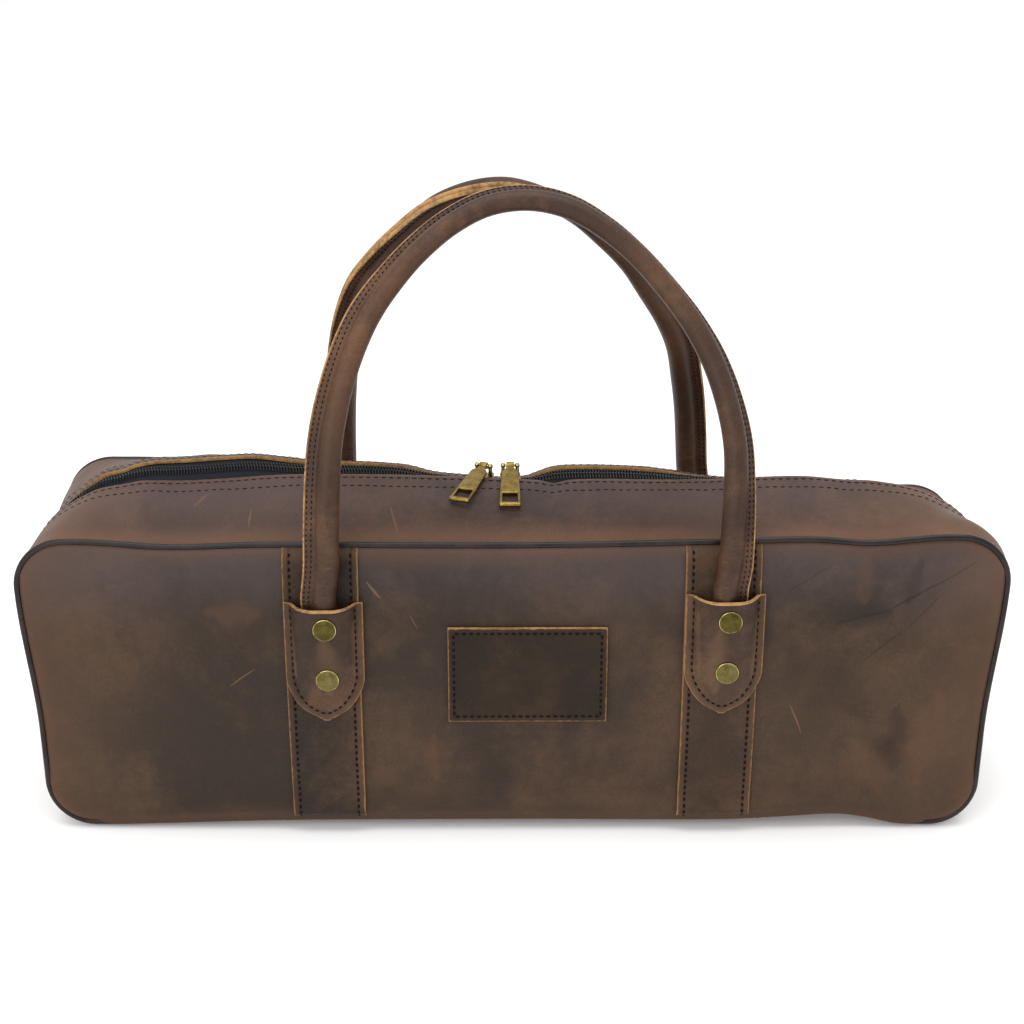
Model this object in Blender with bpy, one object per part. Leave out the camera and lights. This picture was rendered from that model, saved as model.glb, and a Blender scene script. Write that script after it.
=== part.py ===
# Long zip-top knife bag in oiled leather, with two rolled handles and hinged zip pulls.
# Metres, +Z up. The origin is on the floor under the middle of the bag, and -Y is the front.

import math

import bmesh
import bpy
from mathutils import Matrix, Vector

MM = 0.001

# Driving dimensions of the body
BAG_LENGTH = 507 * MM  # over the piping, left to right
BAG_HEIGHT = 168 * MM  # floor to the top of the front piping
BAG_DEPTH = 124 * MM  # over the piping, front to back
TOP_CORNER = 28 * MM  # corner radii of the panels, over the piping
BOTTOM_CORNER = 27 * MM
LEATHER = 2.0 * MM  # thickness of every leather sheet
PIPING = 4.6 * MM  # diameter of the corded seam
FLOOR_CLEARANCE = 0.6 * MM  # the piping stays off the floor, the base is what stands on it
FIT = 0.35 * MM  # clearance between neighbouring pieces
PANEL_BELLY = 6 * MM  # how far a panel's middle stands out
END_WAIST = 5 * MM  # how far the ends draw in below the top corners
GUSSET_RISE = 17 * MM  # zip ridge above the piping
GUSSET_ROLL = 5 * MM  # how far the zip gusset rolls out beside the piping on two corners
BASE_EDGE = 13 * MM  # strip along each long side where the flat base turns up to the piping
ZIP_START = 62 * MM  # height where the zip gusset meets the base gusset on both ends

# Zip
ZIP_OPENING = 16 * MM  # between the leather edges
TAPE_WIDTH = 14 * MM
TAPE_THICKNESS = 0.9 * MM
COIL_WIDTH = 8 * MM
COIL_THICKNESS = 2.3 * MM

# Sliders and pulls
SLIDER_LEFT_X = -15 * MM
SLIDER_RIGHT_X = -1 * MM
SLIDER_LENGTH = 11 * MM
SLIDER_PLATE = 1.2 * MM
SLIDER_FLANGE = 0.8 * MM
PIN_DIAMETER = 1.4 * MM
PIN_HEIGHT = 5.8 * MM  # pin above the slider's plate
KNOB_DIAMETER = 2.8 * MM
PULL_LENGTH = 37 * MM  # pin to the lower edge
PULL_TOP_WIDTH = 8.6 * MM
PULL_END_WIDTH = 11 * MM
PULL_NECK = 4 * MM
PULL_THICKNESS = 1.6 * MM
PULL_BAR = 2.6 * MM  # thickness of the bar below the window
WINDOW_WIDTH = 7.8 * MM
WINDOW_HEIGHT = 8.4 * MM
LEFT_PULL_YAW = math.radians(-20)  # the left pull lies turned towards the left end

# Straps, tabs, rivets and patch
STRAP_WIDTH = 38 * MM
STRAP_SPACING = 203 * MM  # between the straps' centre lines
STRAP_CENTRE = 5 * MM  # the pair sits a little right of the middle
TAB_WIDTH = 40 * MM
TAB_TOP = 136.5 * MM  # height of the left tabs' open upper edge
RIGHT_TAB_LIFT = 4 * MM  # the right tabs sit higher
TAB_LENGTH = 66 * MM
TAB_POINT = 25 * MM  # length of the rounded lower end
FRONT_TAB_SHIFT = 1.2 * MM  # tabs sit slightly right of the straps' centre lines in front,
REAR_TAB_SHIFT = -2.0 * MM  # and left of them at the rear
RIVET_SHIFT = 1.5 * MM  # the rivets sit slightly right of the tabs' middle
RIVET_DIAMETER = 12 * MM
RIVET_HEIGHT = 1.8 * MM
RIVET_MARGIN = 1 * MM  # flat leather round each cap
UPPER_RIVET_DROP = 10.5 * MM  # below the tab's upper edge
RIVET_PITCH = 30 * MM
PATCH_WIDTH = 81.5 * MM
PATCH_HEIGHT = 53 * MM
PATCH_CENTRE_X = 8 * MM
PATCH_CENTRE_Z = 95 * MM

# Handles
HANDLE_DIAMETER = 12.2 * MM  # at the tabs
HANDLE_SLIMMING = 0.87  # share of the diameter that is left at the top
FLANGE_WIDTH = 5.6 * MM
FLANGE_THICKNESS = 4.5 * MM
HANDLE_FOOT = 84 * MM  # height of the flattened ends inside the tabs
HANDLE_APEX = 329.2 * MM  # height of the tube's centre line at the top
HANDLE_MEET = 17 * MM  # half the distance between the two handles at the top
FOOT_THICKNESS = 3.8 * MM  # the flattened end
HANDLE_ROUND = 6 * MM  # above the tab's mouth, where the handle is fully round

# Shape tables. Places along the bag are shares of its half length, heights of BAG_HEIGHT.
# Each row: place, lift of the edge.
FRONT_TOP_DENTS = ((-0.88, 0.0), (-0.69, -0.018), (-0.50, -0.010), (0.0, -0.012), (0.42, 0.0),
                   (0.60, 0.008), (0.72, -0.004), (0.87, 0.014))
FRONT_BOTTOM_DENTS = ((-0.88, 0.0), (-0.50, 0.018), (0.0, 0.024), (0.44, 0.022), (0.60, 0.036),
                      (0.69, 0.042), (0.76, 0.028), (0.83, 0.004), (0.90, 0.0))
REAR_TOP_DENTS = ((-0.88, 0.0), (-0.60, -0.014), (-0.30, -0.060), (0.0, -0.078), (0.30, -0.076),
                  (0.60, -0.086), (0.80, -0.100), (0.90, -0.100))
REAR_BOTTOM_DENTS = ((-0.88, 0.0), (-0.45, 0.016), (0.20, 0.020), (0.60, 0.014), (0.88, 0.0))

# Dents and swells of the panels: place, height, half width, half height, depth as a share of
# BAG_DEPTH (outwards is positive).
FRONT_SWELLS = ((0.75, 0.02, 0.10, 0.42, -0.034), (0.89, 0.20, 0.10, 0.30, 0.020),
                (-0.80, 0.30, 0.22, 0.45, 0.014), (0.62, 0.55, 0.14, 0.40, -0.010),
                (-0.22, 0.16, 0.20, 0.30, 0.008), (0.22, 0.84, 0.30, 0.14, -0.008))
REAR_SWELLS = ((0.86, 0.86, 0.20, 0.34, -0.045), (-0.75, 0.35, 0.22, 0.45, 0.014),
               (0.40, 0.25, 0.24, 0.34, 0.012), (-0.15, 0.60, 0.20, 0.40, -0.010))

# Rise of the zip gusset above the piping: place along the half run of the zip (-1 is the low left
# end), share of GUSSET_RISE.
FRONT_RISE = ((-1.0, 0.10), (-0.80, 0.05), (-0.74, -0.05), (-0.68, 0.02), (-0.636, 0.42),
              (-0.596, 0.635), (-0.558, 0.83), (-0.41, 0.95), (-0.32, 1.02), (-0.18, 1.02),
              (-0.10, 0.98), (-0.02, 0.92), (0.056, 0.83), (0.13, 0.85), (0.25, 0.77), (0.534, 0.77),
              (0.587, 0.54), (0.625, 0.28), (0.654, 0.0), (0.68, -0.24), (0.71, -0.33),
              (0.80, -0.05), (1.0, 0.10))
REAR_RISE = ((-1.0, 0.10), (-0.80, 0.04), (-0.74, -0.14), (-0.69, -0.12), (-0.664, 0.17),
             (-0.6365, 0.55), (-0.605, 0.75), (-0.585, 0.95), (-0.545, 1.16), (-0.415, 1.32),
             (-0.326, 1.12), (-0.178, 0.99), (-0.112, 0.68), (-0.04, 0.54), (0.02, 0.56),
             (0.04, 0.72), (0.062, 0.88), (0.10, 0.94), (0.206, 0.82), (0.262, 0.62), (0.32, 0.40),
             (0.40, 0.31), (0.534, 0.32), (0.587, 0.12), (0.655, -0.36), (0.70, -0.50),
             (0.78, -0.15), (1.0, 0.10))
# Roll of the zip gusset beside the piping: place as above, share of GUSSET_ROLL.
FRONT_ROLL = ((0.62, 0.0), (0.70, 0.7), (0.78, 0.6), (0.90, 0.0))
REAR_ROLL = ((-0.86, 0.0), (-0.72, 0.1), (-0.60, 0.0))

# Handle centre lines, up to the apex: share of the height from foot to HANDLE_APEX, half spread
# as a share of half STRAP_SPACING, drift to the right as a share of it.
FRONT_HANDLE = ((0.0, 0.988, 0.014), (0.22, 0.986, 0.024), (0.492, 0.988, 0.050), (0.567, 0.968, 0.051),
                (0.657, 0.917, 0.048), (0.748, 0.820, 0.038), (0.80, 0.732, 0.026),
                (0.866, 0.605, 0.024), (0.937, 0.414, 0.016), (0.986, 0.200, 0.014), (1.0, 0.0, 0.010))
REAR_HANDLE = ((0.0, 0.974, -0.022), (0.22, 0.973, -0.022), (0.435, 0.944, -0.032), (0.60, 0.886, -0.043),
               (0.667, 0.841, -0.053), (0.736, 0.766, -0.078), (0.80, 0.682, -0.082),
               (0.862, 0.563, -0.087), (0.942, 0.374, -0.110), (0.984, 0.170, -0.120),
               (0.9985, 0.0, -0.128))
# Turn of the stitched flange towards the other handle: share of the run, degrees.
FRONT_FLANGE_TURN = ((0.0, 0), (0.25, 5), (0.31, 18), (0.365, 48), (0.41, 60), (0.50, 70), (0.60, 80),
                     (0.65, 76), (0.69, 68), (0.77, 50), (0.85, 28), (0.93, 8), (1.0, 0))
REAR_FLANGE_TURN = ((0.0, 0), (0.22, 4), (0.27, 11), (0.31, 20), (0.35, 32), (0.40, 56), (0.44, 68),
                    (0.48, 75), (0.53, 72), (0.60, 50), (0.68, 22), (0.80, 6), (1.0, 0))
# Thickness of the handle inside its tab: share of the way from foot to the round part, share of
# the way from FOOT_THICKNESS to HANDLE_DIAMETER.
FOOT_SWELL = ((0.0, 0.0), (0.31, 0.03), (0.45, 0.33), (0.58, 0.50), (0.83, 0.54), (0.90, 0.78),
              (1.0, 1.0))

# Powers and shares of the curved forms
WAIST_POWER = 3  # how late the drawing in starts along the length
BELLY_END_POWER = 6  # how far the belly reaches towards the ends,
BELLY_EDGE_POWER = 3  # and towards the upper and lower edges
BELLY_SOFTNESS = 0.8
RISE_POWER = 1.35  # the zip gusset climbs steeply at the piping and levels out at the zip
ROLL_REACH = 0.7  # share of the zip gusset's width that rolls out
COIL_LEVEL = 0.35  # the coil's level, from the rear leather edge to the front one
TUCK = 4.5  # clearance of the tapes' hidden edges under the leather, in FIT
CROWN_CLEARANCE = 2.2  # of the tab's arch over the handle's end, in FIT
ARCH_WIDTH = 0.86  # share of the tab's width that arches
ARCH_POWER = 3.2
POINT_POWER = 1.9  # roundness of the tab's lower end
POINT_SOFTNESS = 0.8
POINT_BLUNT = 0.12  # share of the width left at the very tip
LEAN_HEART = 0.45  # the flange points away from this share of the handle's height
SLIDER_GRIP = 0.25  # share of the coil's thickness that the slider's flanges reach down
POST_WIDTH = 0.55  # of the pin's posts, in KNOB_DIAMETER
POST_DEPTH = 0.7
PULL_SHOULDER = 1.1  # where the pull starts to widen, in PULL_NECK
PULL_WIDENING = 1.45  # where it is wide, in lengths of the neck

# Resolution of the meshes
CORNER_STEPS = 4
SPAN_STEP = 30 * MM
ZIP_STEP = 23 * MM
PANEL_ROWS = (0.0, 0.10, 0.26, 0.44, 0.62, 0.78, 0.91, 1.0)
GUSSET_ROWS = (0.0, 0.16, 0.42, 0.72, 1.0)
BASE_ROWS = (0.0, 0.45, 1.0)
PIPING_CORNER_STEPS = 7
HANDLE_STEPS = 24

# Sizes that follow from the driving ones
PIPING_RADIUS = PIPING / 2
SEAM_X = BAG_LENGTH / 2 - PIPING_RADIUS  # centre line of the piping
SEAM_TOP = BAG_HEIGHT - PIPING_RADIUS
SEAM_BOTTOM = PIPING_RADIUS + FLOOR_CLEARANCE
SEAM_Y = BAG_DEPTH / 2 - PIPING_RADIUS
TOP_RADIUS = TOP_CORNER - PIPING_RADIUS
BOTTOM_RADIUS = BOTTOM_CORNER - PIPING_RADIUS
SEAM_INSET = PIPING_RADIUS + FIT  # from the piping's centre line to a sheet's edge
GUSSET_Y = SEAM_Y - SEAM_INSET
ZIP_EDGE_Y = ZIP_OPENING / 2
STRAIGHT_TOP = SEAM_X - TOP_RADIUS  # half length of the seam's straight run along the top
ZIP_SPAN = STRAIGHT_TOP / round(STRAIGHT_TOP / ZIP_STEP)
TOP_ARC = TOP_RADIUS * math.pi / 2
ZIP_DROP = SEAM_TOP - TOP_RADIUS - ZIP_START  # the zip's straight run down an end
ZIP_RUN = STRAIGHT_TOP + TOP_ARC + ZIP_DROP
RIVET_SEAT = RIVET_DIAMETER / 2 + RIVET_MARGIN
FRONT, REAR = -1, 1
LEFT, RIGHT = -1, 1
TOP_DENTS = {FRONT: FRONT_TOP_DENTS, REAR: REAR_TOP_DENTS}
BOTTOM_DENTS = {FRONT: FRONT_BOTTOM_DENTS, REAR: REAR_BOTTOM_DENTS}
SWELLS = {FRONT: FRONT_SWELLS, REAR: REAR_SWELLS}
RISES = {FRONT: FRONT_RISE, REAR: REAR_RISE}
ROLLS = {FRONT: FRONT_ROLL, REAR: REAR_ROLL}
HANDLES = {FRONT: FRONT_HANDLE, REAR: REAR_HANDLE}
TAB_SHIFTS = {FRONT: FRONT_TAB_SHIFT, REAR: REAR_TAB_SHIFT}
FLANGE_TURNS = {FRONT: FRONT_FLANGE_TURN, REAR: REAR_FLANGE_TURN}
SIDE_NAMES = {FRONT: "front", REAR: "rear"}
HAND_NAMES = {LEFT: "left", RIGHT: "right"}


def clear_scene():
    for obj in list(bpy.data.objects):
        bpy.data.objects.remove(obj, do_unlink=True)


def material(name, colour, roughness, metallic=0.0):
    made = bpy.data.materials.new(name)
    made.use_nodes = True
    shader = made.node_tree.nodes["Principled BSDF"]
    shader.inputs["Base Color"].default_value = (*colour, 1.0)
    shader.inputs["Roughness"].default_value = roughness
    shader.inputs["Metallic"].default_value = metallic
    return made


def finish(mesh, name, finish_material):
    obj = bpy.data.objects.new(name, mesh)
    bpy.context.scene.collection.objects.link(obj)
    obj.data.materials.append(finish_material)
    mesh.shade_smooth()
    mesh.set_sharp_from_angle(angle=math.radians(40))
    return obj


def between(rows, place):
    # The value at a place of a table of (place, value) rows, on a smooth curve through them.
    places = [row[0] for row in rows]
    values = [row[1] for row in rows]
    if place <= places[0]:
        return values[0]
    if place >= places[-1]:
        return values[-1]
    slopes = [0.0]
    for k in range(1, len(rows) - 1):
        slopes.append((values[k + 1] - values[k - 1]) / (places[k + 1] - places[k - 1]))
    slopes.append(0.0)
    k = max(i for i in range(len(rows) - 1) if places[i] <= place)
    span = places[k + 1] - places[k]
    t = (place - places[k]) / span
    start = values[k] * (2 * t ** 3 - 3 * t ** 2 + 1) + values[k + 1] * (3 * t ** 2 - 2 * t ** 3)
    return start + span * (slopes[k] * (t ** 3 - 2 * t ** 2 + t) + slopes[k + 1] * (t ** 3 - t ** 2))


def ease(t):
    t = min(max(t, 0.0), 1.0)
    return t * t * (3 - 2 * t)


def mix(a, b, t):
    return a + (b - a) * t


def corner_drop(x, radius, inset):
    # How far a rounded corner has fallen from its straight edge at x.
    past = max(0.0, abs(x) - (SEAM_X - radius))
    return (radius - inset) - math.sqrt(max(0.0, (radius - inset) ** 2 - past ** 2))


def top_edge(side, x, inset=0.0):
    # Height along the top, corners included, of a line inside the piping's centre line.
    lift = between(TOP_DENTS[side], x / SEAM_X) * BAG_HEIGHT
    return SEAM_TOP - inset + lift - corner_drop(x, TOP_RADIUS, inset)


def bottom_edge(side, x, inset=0.0):
    lift = between(BOTTOM_DENTS[side], x / SEAM_X) * BAG_HEIGHT
    return SEAM_BOTTOM + inset + lift + corner_drop(x, BOTTOM_RADIUS, inset)


def drawn_in(x, z):
    # The ends draw in a little towards the base.
    pull = END_WAIST * ease((SEAM_TOP - TOP_RADIUS - z) / (BAG_HEIGHT / 2))
    return x - math.copysign(pull * abs(x / SEAM_X) ** WAIST_POWER, x)


def belly(side, x, z):
    # How far the panel stands out from the seam's plane.
    along = x / SEAM_X
    up = (z - SEAM_BOTTOM) / (SEAM_TOP - SEAM_BOTTOM)
    ends = max(0.0, 1 - abs(along) ** BELLY_END_POWER)
    edges = max(0.0, 1 - abs(2 * up - 1) ** BELLY_EDGE_POWER)
    out = PANEL_BELLY
    for place, height, half_width, half_height, depth in SWELLS[side]:
        across = ((along - place) / half_width) ** 2
        tall = ((up - height) / half_height) ** 2
        out += BAG_DEPTH * depth * math.exp(-across - tall)
    return out * (ends * edges) ** BELLY_SOFTNESS


def panel_face(side, x, z):
    # Distance of the panel's outer face from the bag's middle plane.
    return SEAM_Y + LEATHER / 2 + belly(side, x, z)


def sheet(name, outer, inner, finish_material):
    # A closed sheet between two grids of points, the outer one seen from outside.
    mesh = bpy.data.meshes.new(name)
    bm = bmesh.new()
    faces_out = [[bm.verts.new(point) for point in row] for row in outer]
    faces_in = [[bm.verts.new(point) for point in row] for row in inner]
    for grid in (faces_out, faces_in):
        for lower, upper in zip(grid, grid[1:]):
            for a, b, c, d in zip(lower, lower[1:], upper[1:], upper):
                bm.faces.new((a, b, c, d))
    rims = []
    for grid in (faces_out, faces_in):
        right = [row[-1] for row in grid[1:-1]]
        left = [row[0] for row in grid[-2:0:-1]]
        rims.append(grid[0] + right + grid[-1][::-1] + left)
    for a, b, c, d in zip(rims[0], rims[0][1:] + rims[0][:1], rims[1][1:] + rims[1][:1], rims[1]):
        bm.faces.new((a, b, c, d))
    bmesh.ops.recalc_face_normals(bm, faces=bm.faces)
    bm.to_mesh(mesh)
    bm.free()
    return finish(mesh, name, finish_material)


def panel_sheet(name, side, grid, finish_material):
    # Rows of (x, distance from the middle plane, z), as a sheet that follows a panel.
    outer = [[(x, side * y, z) for x, y, z in row] for row in grid]
    inner = [[(x, side * (y - LEATHER), z) for x, y, z in row] for row in grid]
    return sheet(name, outer, inner, finish_material)


def sweep(name, rings, finish_material):
    # A closed solid through rings of points, capped at both ends.
    mesh = bpy.data.meshes.new(name)
    bm = bmesh.new()
    loops = [[bm.verts.new(point) for point in ring] for ring in rings]
    for first, second in zip(loops, loops[1:]):
        for k in range(len(first)):
            n = (k + 1) % len(first)
            bm.faces.new((first[k], first[n], second[n], second[k]))
    bm.faces.new(list(reversed(loops[0])))
    bm.faces.new(loops[-1])
    bmesh.ops.recalc_face_normals(bm, faces=bm.faces)
    bm.to_mesh(mesh)
    bm.free()
    return finish(mesh, name, finish_material)


def strap_x(hand):
    return STRAP_CENTRE + hand * STRAP_SPACING / 2


def span_columns():
    # Columns along the straight top and bottom: the straps' edges, and evenly between these.
    stops = [TOP_RADIUS - SEAM_X, SEAM_X - TOP_RADIUS]
    for hand in (LEFT, RIGHT):
        stops += [strap_x(hand) - STRAP_WIDTH / 2, strap_x(hand) + STRAP_WIDTH / 2]
    stops.sort()
    columns = []
    for start, end in zip(stops, stops[1:]):
        steps = max(1, round((end - start) / SPAN_STEP))
        columns += [mix(start, end, k / steps) for k in range(steps)]
    return columns + stops[-1:]


def panel_columns():
    arc = []
    for k in range(1, CORNER_STEPS + 1):
        reach = (TOP_RADIUS - SEAM_INSET) * math.sin(math.pi / 2 * k / CORNER_STEPS)
        arc.append(SEAM_X - TOP_RADIUS + reach)
    return [-x for x in reversed(arc)] + span_columns() + arc


def panel_rows(side, x):
    low = bottom_edge(side, x, SEAM_INSET)
    high = top_edge(side, x, SEAM_INSET)
    return [mix(low, high, share) for share in PANEL_ROWS]


def build_panel(side, leather):
    grid = [[(drawn_in(x, z), panel_face(side, x, z), z) for z in panel_rows(side, x)]
            for x in panel_columns()]
    return panel_sheet(SIDE_NAMES[side] + "_panel", side, grid, leather)


def seam_point(side, x, top):
    z = top_edge(side, x) if top else bottom_edge(side, x)
    return Vector((drawn_in(x, z), 0.0, z))


def top_station(x):
    # A station of the zip gusset on the straight top.
    return (x / ZIP_RUN, x, None, (0.0, 1.0))


def zip_stations():
    # Stations of the zip gusset, left end to right end: place along the half run, x before the
    # ends draw in, whether on the straight end, height there, outward normal.
    half = [top_station(ZIP_SPAN * k) for k in range(round(STRAIGHT_TOP / ZIP_SPAN) + 1)]
    for k in range(1, CORNER_STEPS + 1):
        angle = math.pi / 2 * k / CORNER_STEPS
        x = STRAIGHT_TOP + TOP_RADIUS * math.sin(angle)
        place = (STRAIGHT_TOP + TOP_ARC * k / CORNER_STEPS) / ZIP_RUN
        half.append((place, x, None, (math.sin(angle), math.cos(angle))))
    for k in (1, 2):
        z = SEAM_TOP - TOP_RADIUS - ZIP_DROP * k / 2
        half.append(((STRAIGHT_TOP + TOP_ARC + ZIP_DROP * k / 2) / ZIP_RUN, SEAM_X, z, (1.0, 0.0)))
    left = [(-place, -x, z, (-n[0], n[1])) for place, x, z, n in reversed(half[1:])]
    return left + half


def gusset_base(station, y):
    # A point on the plain run between both seams: level with the front one as far as the zip.
    place, x, z, normal = station
    points = []
    for side in (FRONT, REAR):
        if z is None:
            points.append(seam_point(side, x, True))
        else:
            points.append(Vector((drawn_in(x, z), 0.0, z)))
    point = points[0].lerp(points[1], ease((y - ZIP_EDGE_Y) / (GUSSET_Y - ZIP_EDGE_Y)))
    point.y = y
    return point


def gusset_offset(side, place, y):
    # Outer face of the zip gusset above the plain run.
    t = (GUSSET_Y - abs(y)) / (GUSSET_Y - ZIP_EDGE_Y)
    rise = between(RISES[side], place) * GUSSET_RISE
    rolled = min(t / ROLL_REACH, 1.0)
    roll = between(ROLLS[side], place) * GUSSET_ROLL * 4 * rolled * (1 - rolled)
    return LEATHER / 2 + roll + rise * (1 - (1 - t) ** RISE_POWER)


def gusset_point(station, y, offset):
    normal = Vector((station[3][0], 0.0, station[3][1]))
    return gusset_base(station, y) + normal * offset


def gusset_height(x, y):
    # Height of the zip gusset's outer face on the straight top.
    side = FRONT if y < 0 else REAR
    station = top_station(x)
    return gusset_point(station, y, gusset_offset(side, station[0], y)).z


def build_zip_gusset(side, leather):
    rows = [side * mix(GUSSET_Y, ZIP_EDGE_Y, t) for t in GUSSET_ROWS]
    grids = []
    for depth in (0.0, LEATHER):
        grids.append([[gusset_point(station, y, gusset_offset(side, station[0], y) - depth) for y in rows]
                      for station in zip_stations()])
    return sheet(SIDE_NAMES[side] + "_zip_gusset", *grids, leather)


def tape_offset(place, y):
    # Outer face of the zip tape: just under the leather, and straight across the opening.
    side = FRONT if y < 0 else REAR
    tucked = max(0.0, abs(y) - ZIP_EDGE_Y) / (TAPE_WIDTH - ZIP_EDGE_Y)
    under = LEATHER + FIT * mix(1, TUCK, tucked)
    return gusset_offset(side, place, y) - under


def coil_seat(place):
    # Face of both tapes under the coil, between the levels of the two leather edges.
    levels = [tape_offset(place, side * ZIP_EDGE_Y) for side in (REAR, FRONT)]
    return mix(*levels, COIL_LEVEL)


def build_tape(side, woven):
    grids = []
    for depth in (0.0, TAPE_THICKNESS):
        grid = []
        for station in zip_stations():
            row = []
            for y in (TAPE_WIDTH, ZIP_EDGE_Y, COIL_WIDTH / 2, FIT / 2):
                flat = y < ZIP_EDGE_Y
                offset = coil_seat(station[0]) if flat else tape_offset(station[0], side * y)
                row.append(gusset_point(station, side * y, offset - depth))
            grid.append(row)
        grids.append(grid)
    return sheet("zip_tape_" + SIDE_NAMES[side], *grids, woven)


def build_coil(nylon):
    section = ((-0.5, 0.0), (-0.42, 0.7), (-0.16, 1.0), (0.16, 1.0), (0.42, 0.7), (0.5, 0.0))
    rings = []
    for station in zip_stations():
        base = coil_seat(station[0]) + FIT
        rings.append([gusset_point(station, COIL_WIDTH * across, base + COIL_THICKNESS * up)
                      for across, up in section])
    return sweep("zip_coil", rings, nylon)


def base_stations():
    # Stations of the base gusset, left end to right end: x before the ends draw in, height on
    # the straight ends, outward normal.
    straight = SEAM_X - BOTTOM_RADIUS
    steps = 2 * round(straight / SPAN_STEP)
    middle = [(mix(-straight, straight, k / steps), None, (0.0, -1.0)) for k in range(steps + 1)]
    right = []
    for k in range(1, CORNER_STEPS + 1):
        angle = math.pi / 2 * k / CORNER_STEPS
        x = straight + BOTTOM_RADIUS * math.sin(angle)
        right.append((x, None, (math.sin(angle), -math.cos(angle))))
    right.append((SEAM_X, ZIP_START - FIT, (1.0, 0.0)))
    left = [(-x, z, (-n[0], n[1])) for x, z, n in reversed(right)]
    return left + middle + right


def base_point(station, y, depth):
    x, z, normal = station
    heights = {side: bottom_edge(side, x) if z is None else z for side in (FRONT, REAR)}
    height = mix(heights[FRONT], heights[REAR], ease((y + GUSSET_Y) / (2 * GUSSET_Y)))
    straight = SEAM_X - BOTTOM_RADIUS
    near = min(max(x, -straight), straight)
    seams = [bottom_edge(side, near) for side in (FRONT, REAR)]
    seam = mix(seams[0], seams[1], ease((y + GUSSET_Y) / (2 * GUSSET_Y)))
    flat = ease((GUSSET_Y - abs(y)) / BASE_EDGE)
    down = max(0.0, -normal[1]) * (seam - LEATHER / 2) * flat
    point = Vector((drawn_in(x, height), y, height))
    return point + Vector((normal[0], 0.0, normal[1])) * (LEATHER / 2 + down - depth)


def build_base(leather):
    edge = [mix(GUSSET_Y, GUSSET_Y - BASE_EDGE, t) for t in BASE_ROWS]
    rows = [-y for y in edge] + edge[::-1]
    grids = [[[base_point(station, y, depth) for y in rows] for station in base_stations()]
             for depth in (0.0, LEATHER)]
    return sheet("bottom_gusset", *grids, leather)


def quarter(side, hand, top, rising):
    # Stations round one corner of a seam, from or towards the straight run along the edge.
    radius = TOP_RADIUS if top else BOTTOM_RADIUS
    steps = range(PIPING_CORNER_STEPS) if rising else range(PIPING_CORNER_STEPS, 0, -1)
    places = [math.pi / 2 * k / PIPING_CORNER_STEPS for k in steps]
    return [seam_point(side, hand * (SEAM_X - radius + radius * math.sin(a)), top) for a in places]


def seam_end(hand, upwards):
    # Stations up or down one end, corner to corner.
    low, high = SEAM_BOTTOM + BOTTOM_RADIUS, SEAM_TOP - TOP_RADIUS
    heights = [mix(low, high, k / 4) for k in (range(4) if upwards else range(4, 0, -1))]
    return [Vector((drawn_in(hand * SEAM_X, z), 0.0, z)) for z in heights]


def seam_loop(side):
    # The closed centre line of a piping, anticlockwise from the low left corner.
    columns = span_columns()
    points = [seam_point(side, x, False) for x in [BOTTOM_RADIUS - SEAM_X] + columns]
    points += quarter(side, RIGHT, False, True)
    points += seam_end(RIGHT, True)
    points += quarter(side, RIGHT, True, False)
    points += [seam_point(side, x, True) for x in columns[:0:-1]]
    points += quarter(side, LEFT, True, True)
    points += seam_end(LEFT, False)
    points += quarter(side, LEFT, False, False)
    return [Vector((p.x, side * SEAM_Y, p.z)) for p in points]


def build_piping(side, leather):
    name = SIDE_NAMES[side] + "_piping"
    curve = bpy.data.curves.new(name, "CURVE")
    curve.dimensions = "3D"
    curve.bevel_depth = PIPING_RADIUS
    curve.bevel_resolution = 1
    points = seam_loop(side)
    spline = curve.splines.new("POLY")
    spline.points.add(len(points) - 1)
    for point, place in zip(spline.points, points):
        point.co = (*place, 1.0)
    spline.use_cyclic_u = True
    obj = bpy.data.objects.new(name, curve)
    bpy.context.scene.collection.objects.link(obj)
    curve.materials.append(leather)
    return obj


def strap_face(side, x, z):
    return panel_face(side, x, z) + FIT + LEATHER


def build_strap(side, hand, leather):
    grid = []
    for across in (-0.5, 0.5):
        x = strap_x(hand) + STRAP_WIDTH * across
        grid.append([(x, strap_face(side, x, z), z) for z in panel_rows(side, x)])
    return panel_sheet("strap_" + SIDE_NAMES[side] + "_" + HAND_NAMES[hand], side, grid, leather)


def tab_x(side, hand):
    return strap_x(hand) + TAB_SHIFTS[side]


def rivet_x(side, hand):
    return tab_x(side, hand) + RIVET_SHIFT


def tab_top(hand):
    return TAB_TOP + (RIGHT_TAB_LIFT if hand == RIGHT else 0.0)


def rivet_heights(hand):
    upper = tab_top(hand) - UPPER_RIVET_DROP
    return (upper, upper - RIVET_PITCH)


def handle_foot(hand):
    # Height of the flattened end inside the tab.
    return HANDLE_FOOT + tab_top(hand) - TAB_TOP


def handle_thickness(hand, z):
    # Thickness of the handle, flattened inside the tab and round above its mouth.
    t = (z - handle_foot(hand)) / (TAB_TOP + HANDLE_ROUND - HANDLE_FOOT)
    return mix(FOOT_THICKNESS, HANDLE_DIAMETER, between(FOOT_SWELL, t))


def tab_crown(hand, z):
    # Height of the tab's outer face above the strap, over the handle's end.
    foot = handle_foot(hand)
    handle = handle_thickness(hand, max(z, foot)) + CROWN_CLEARANCE * FIT
    fade = ease((z - foot + TAB_POINT / 2) / (TAB_POINT / 2))
    return LEATHER + handle * fade


def tab_face(side, hand, x, z):
    # The tab arches over the handle's end and lies flat along its stitched edges.
    across = min(abs(x - tab_x(side, hand)) / (TAB_WIDTH / 2 * ARCH_WIDTH), 1.0)
    arch = 1 - across ** ARCH_POWER
    face = LEATHER + (tab_crown(hand, z) - LEATHER) * arch
    return strap_face(side, x, z) + FIT + face


def rivet_face(side, hand, height):
    return tab_face(side, hand, rivet_x(side, hand), height)


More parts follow.
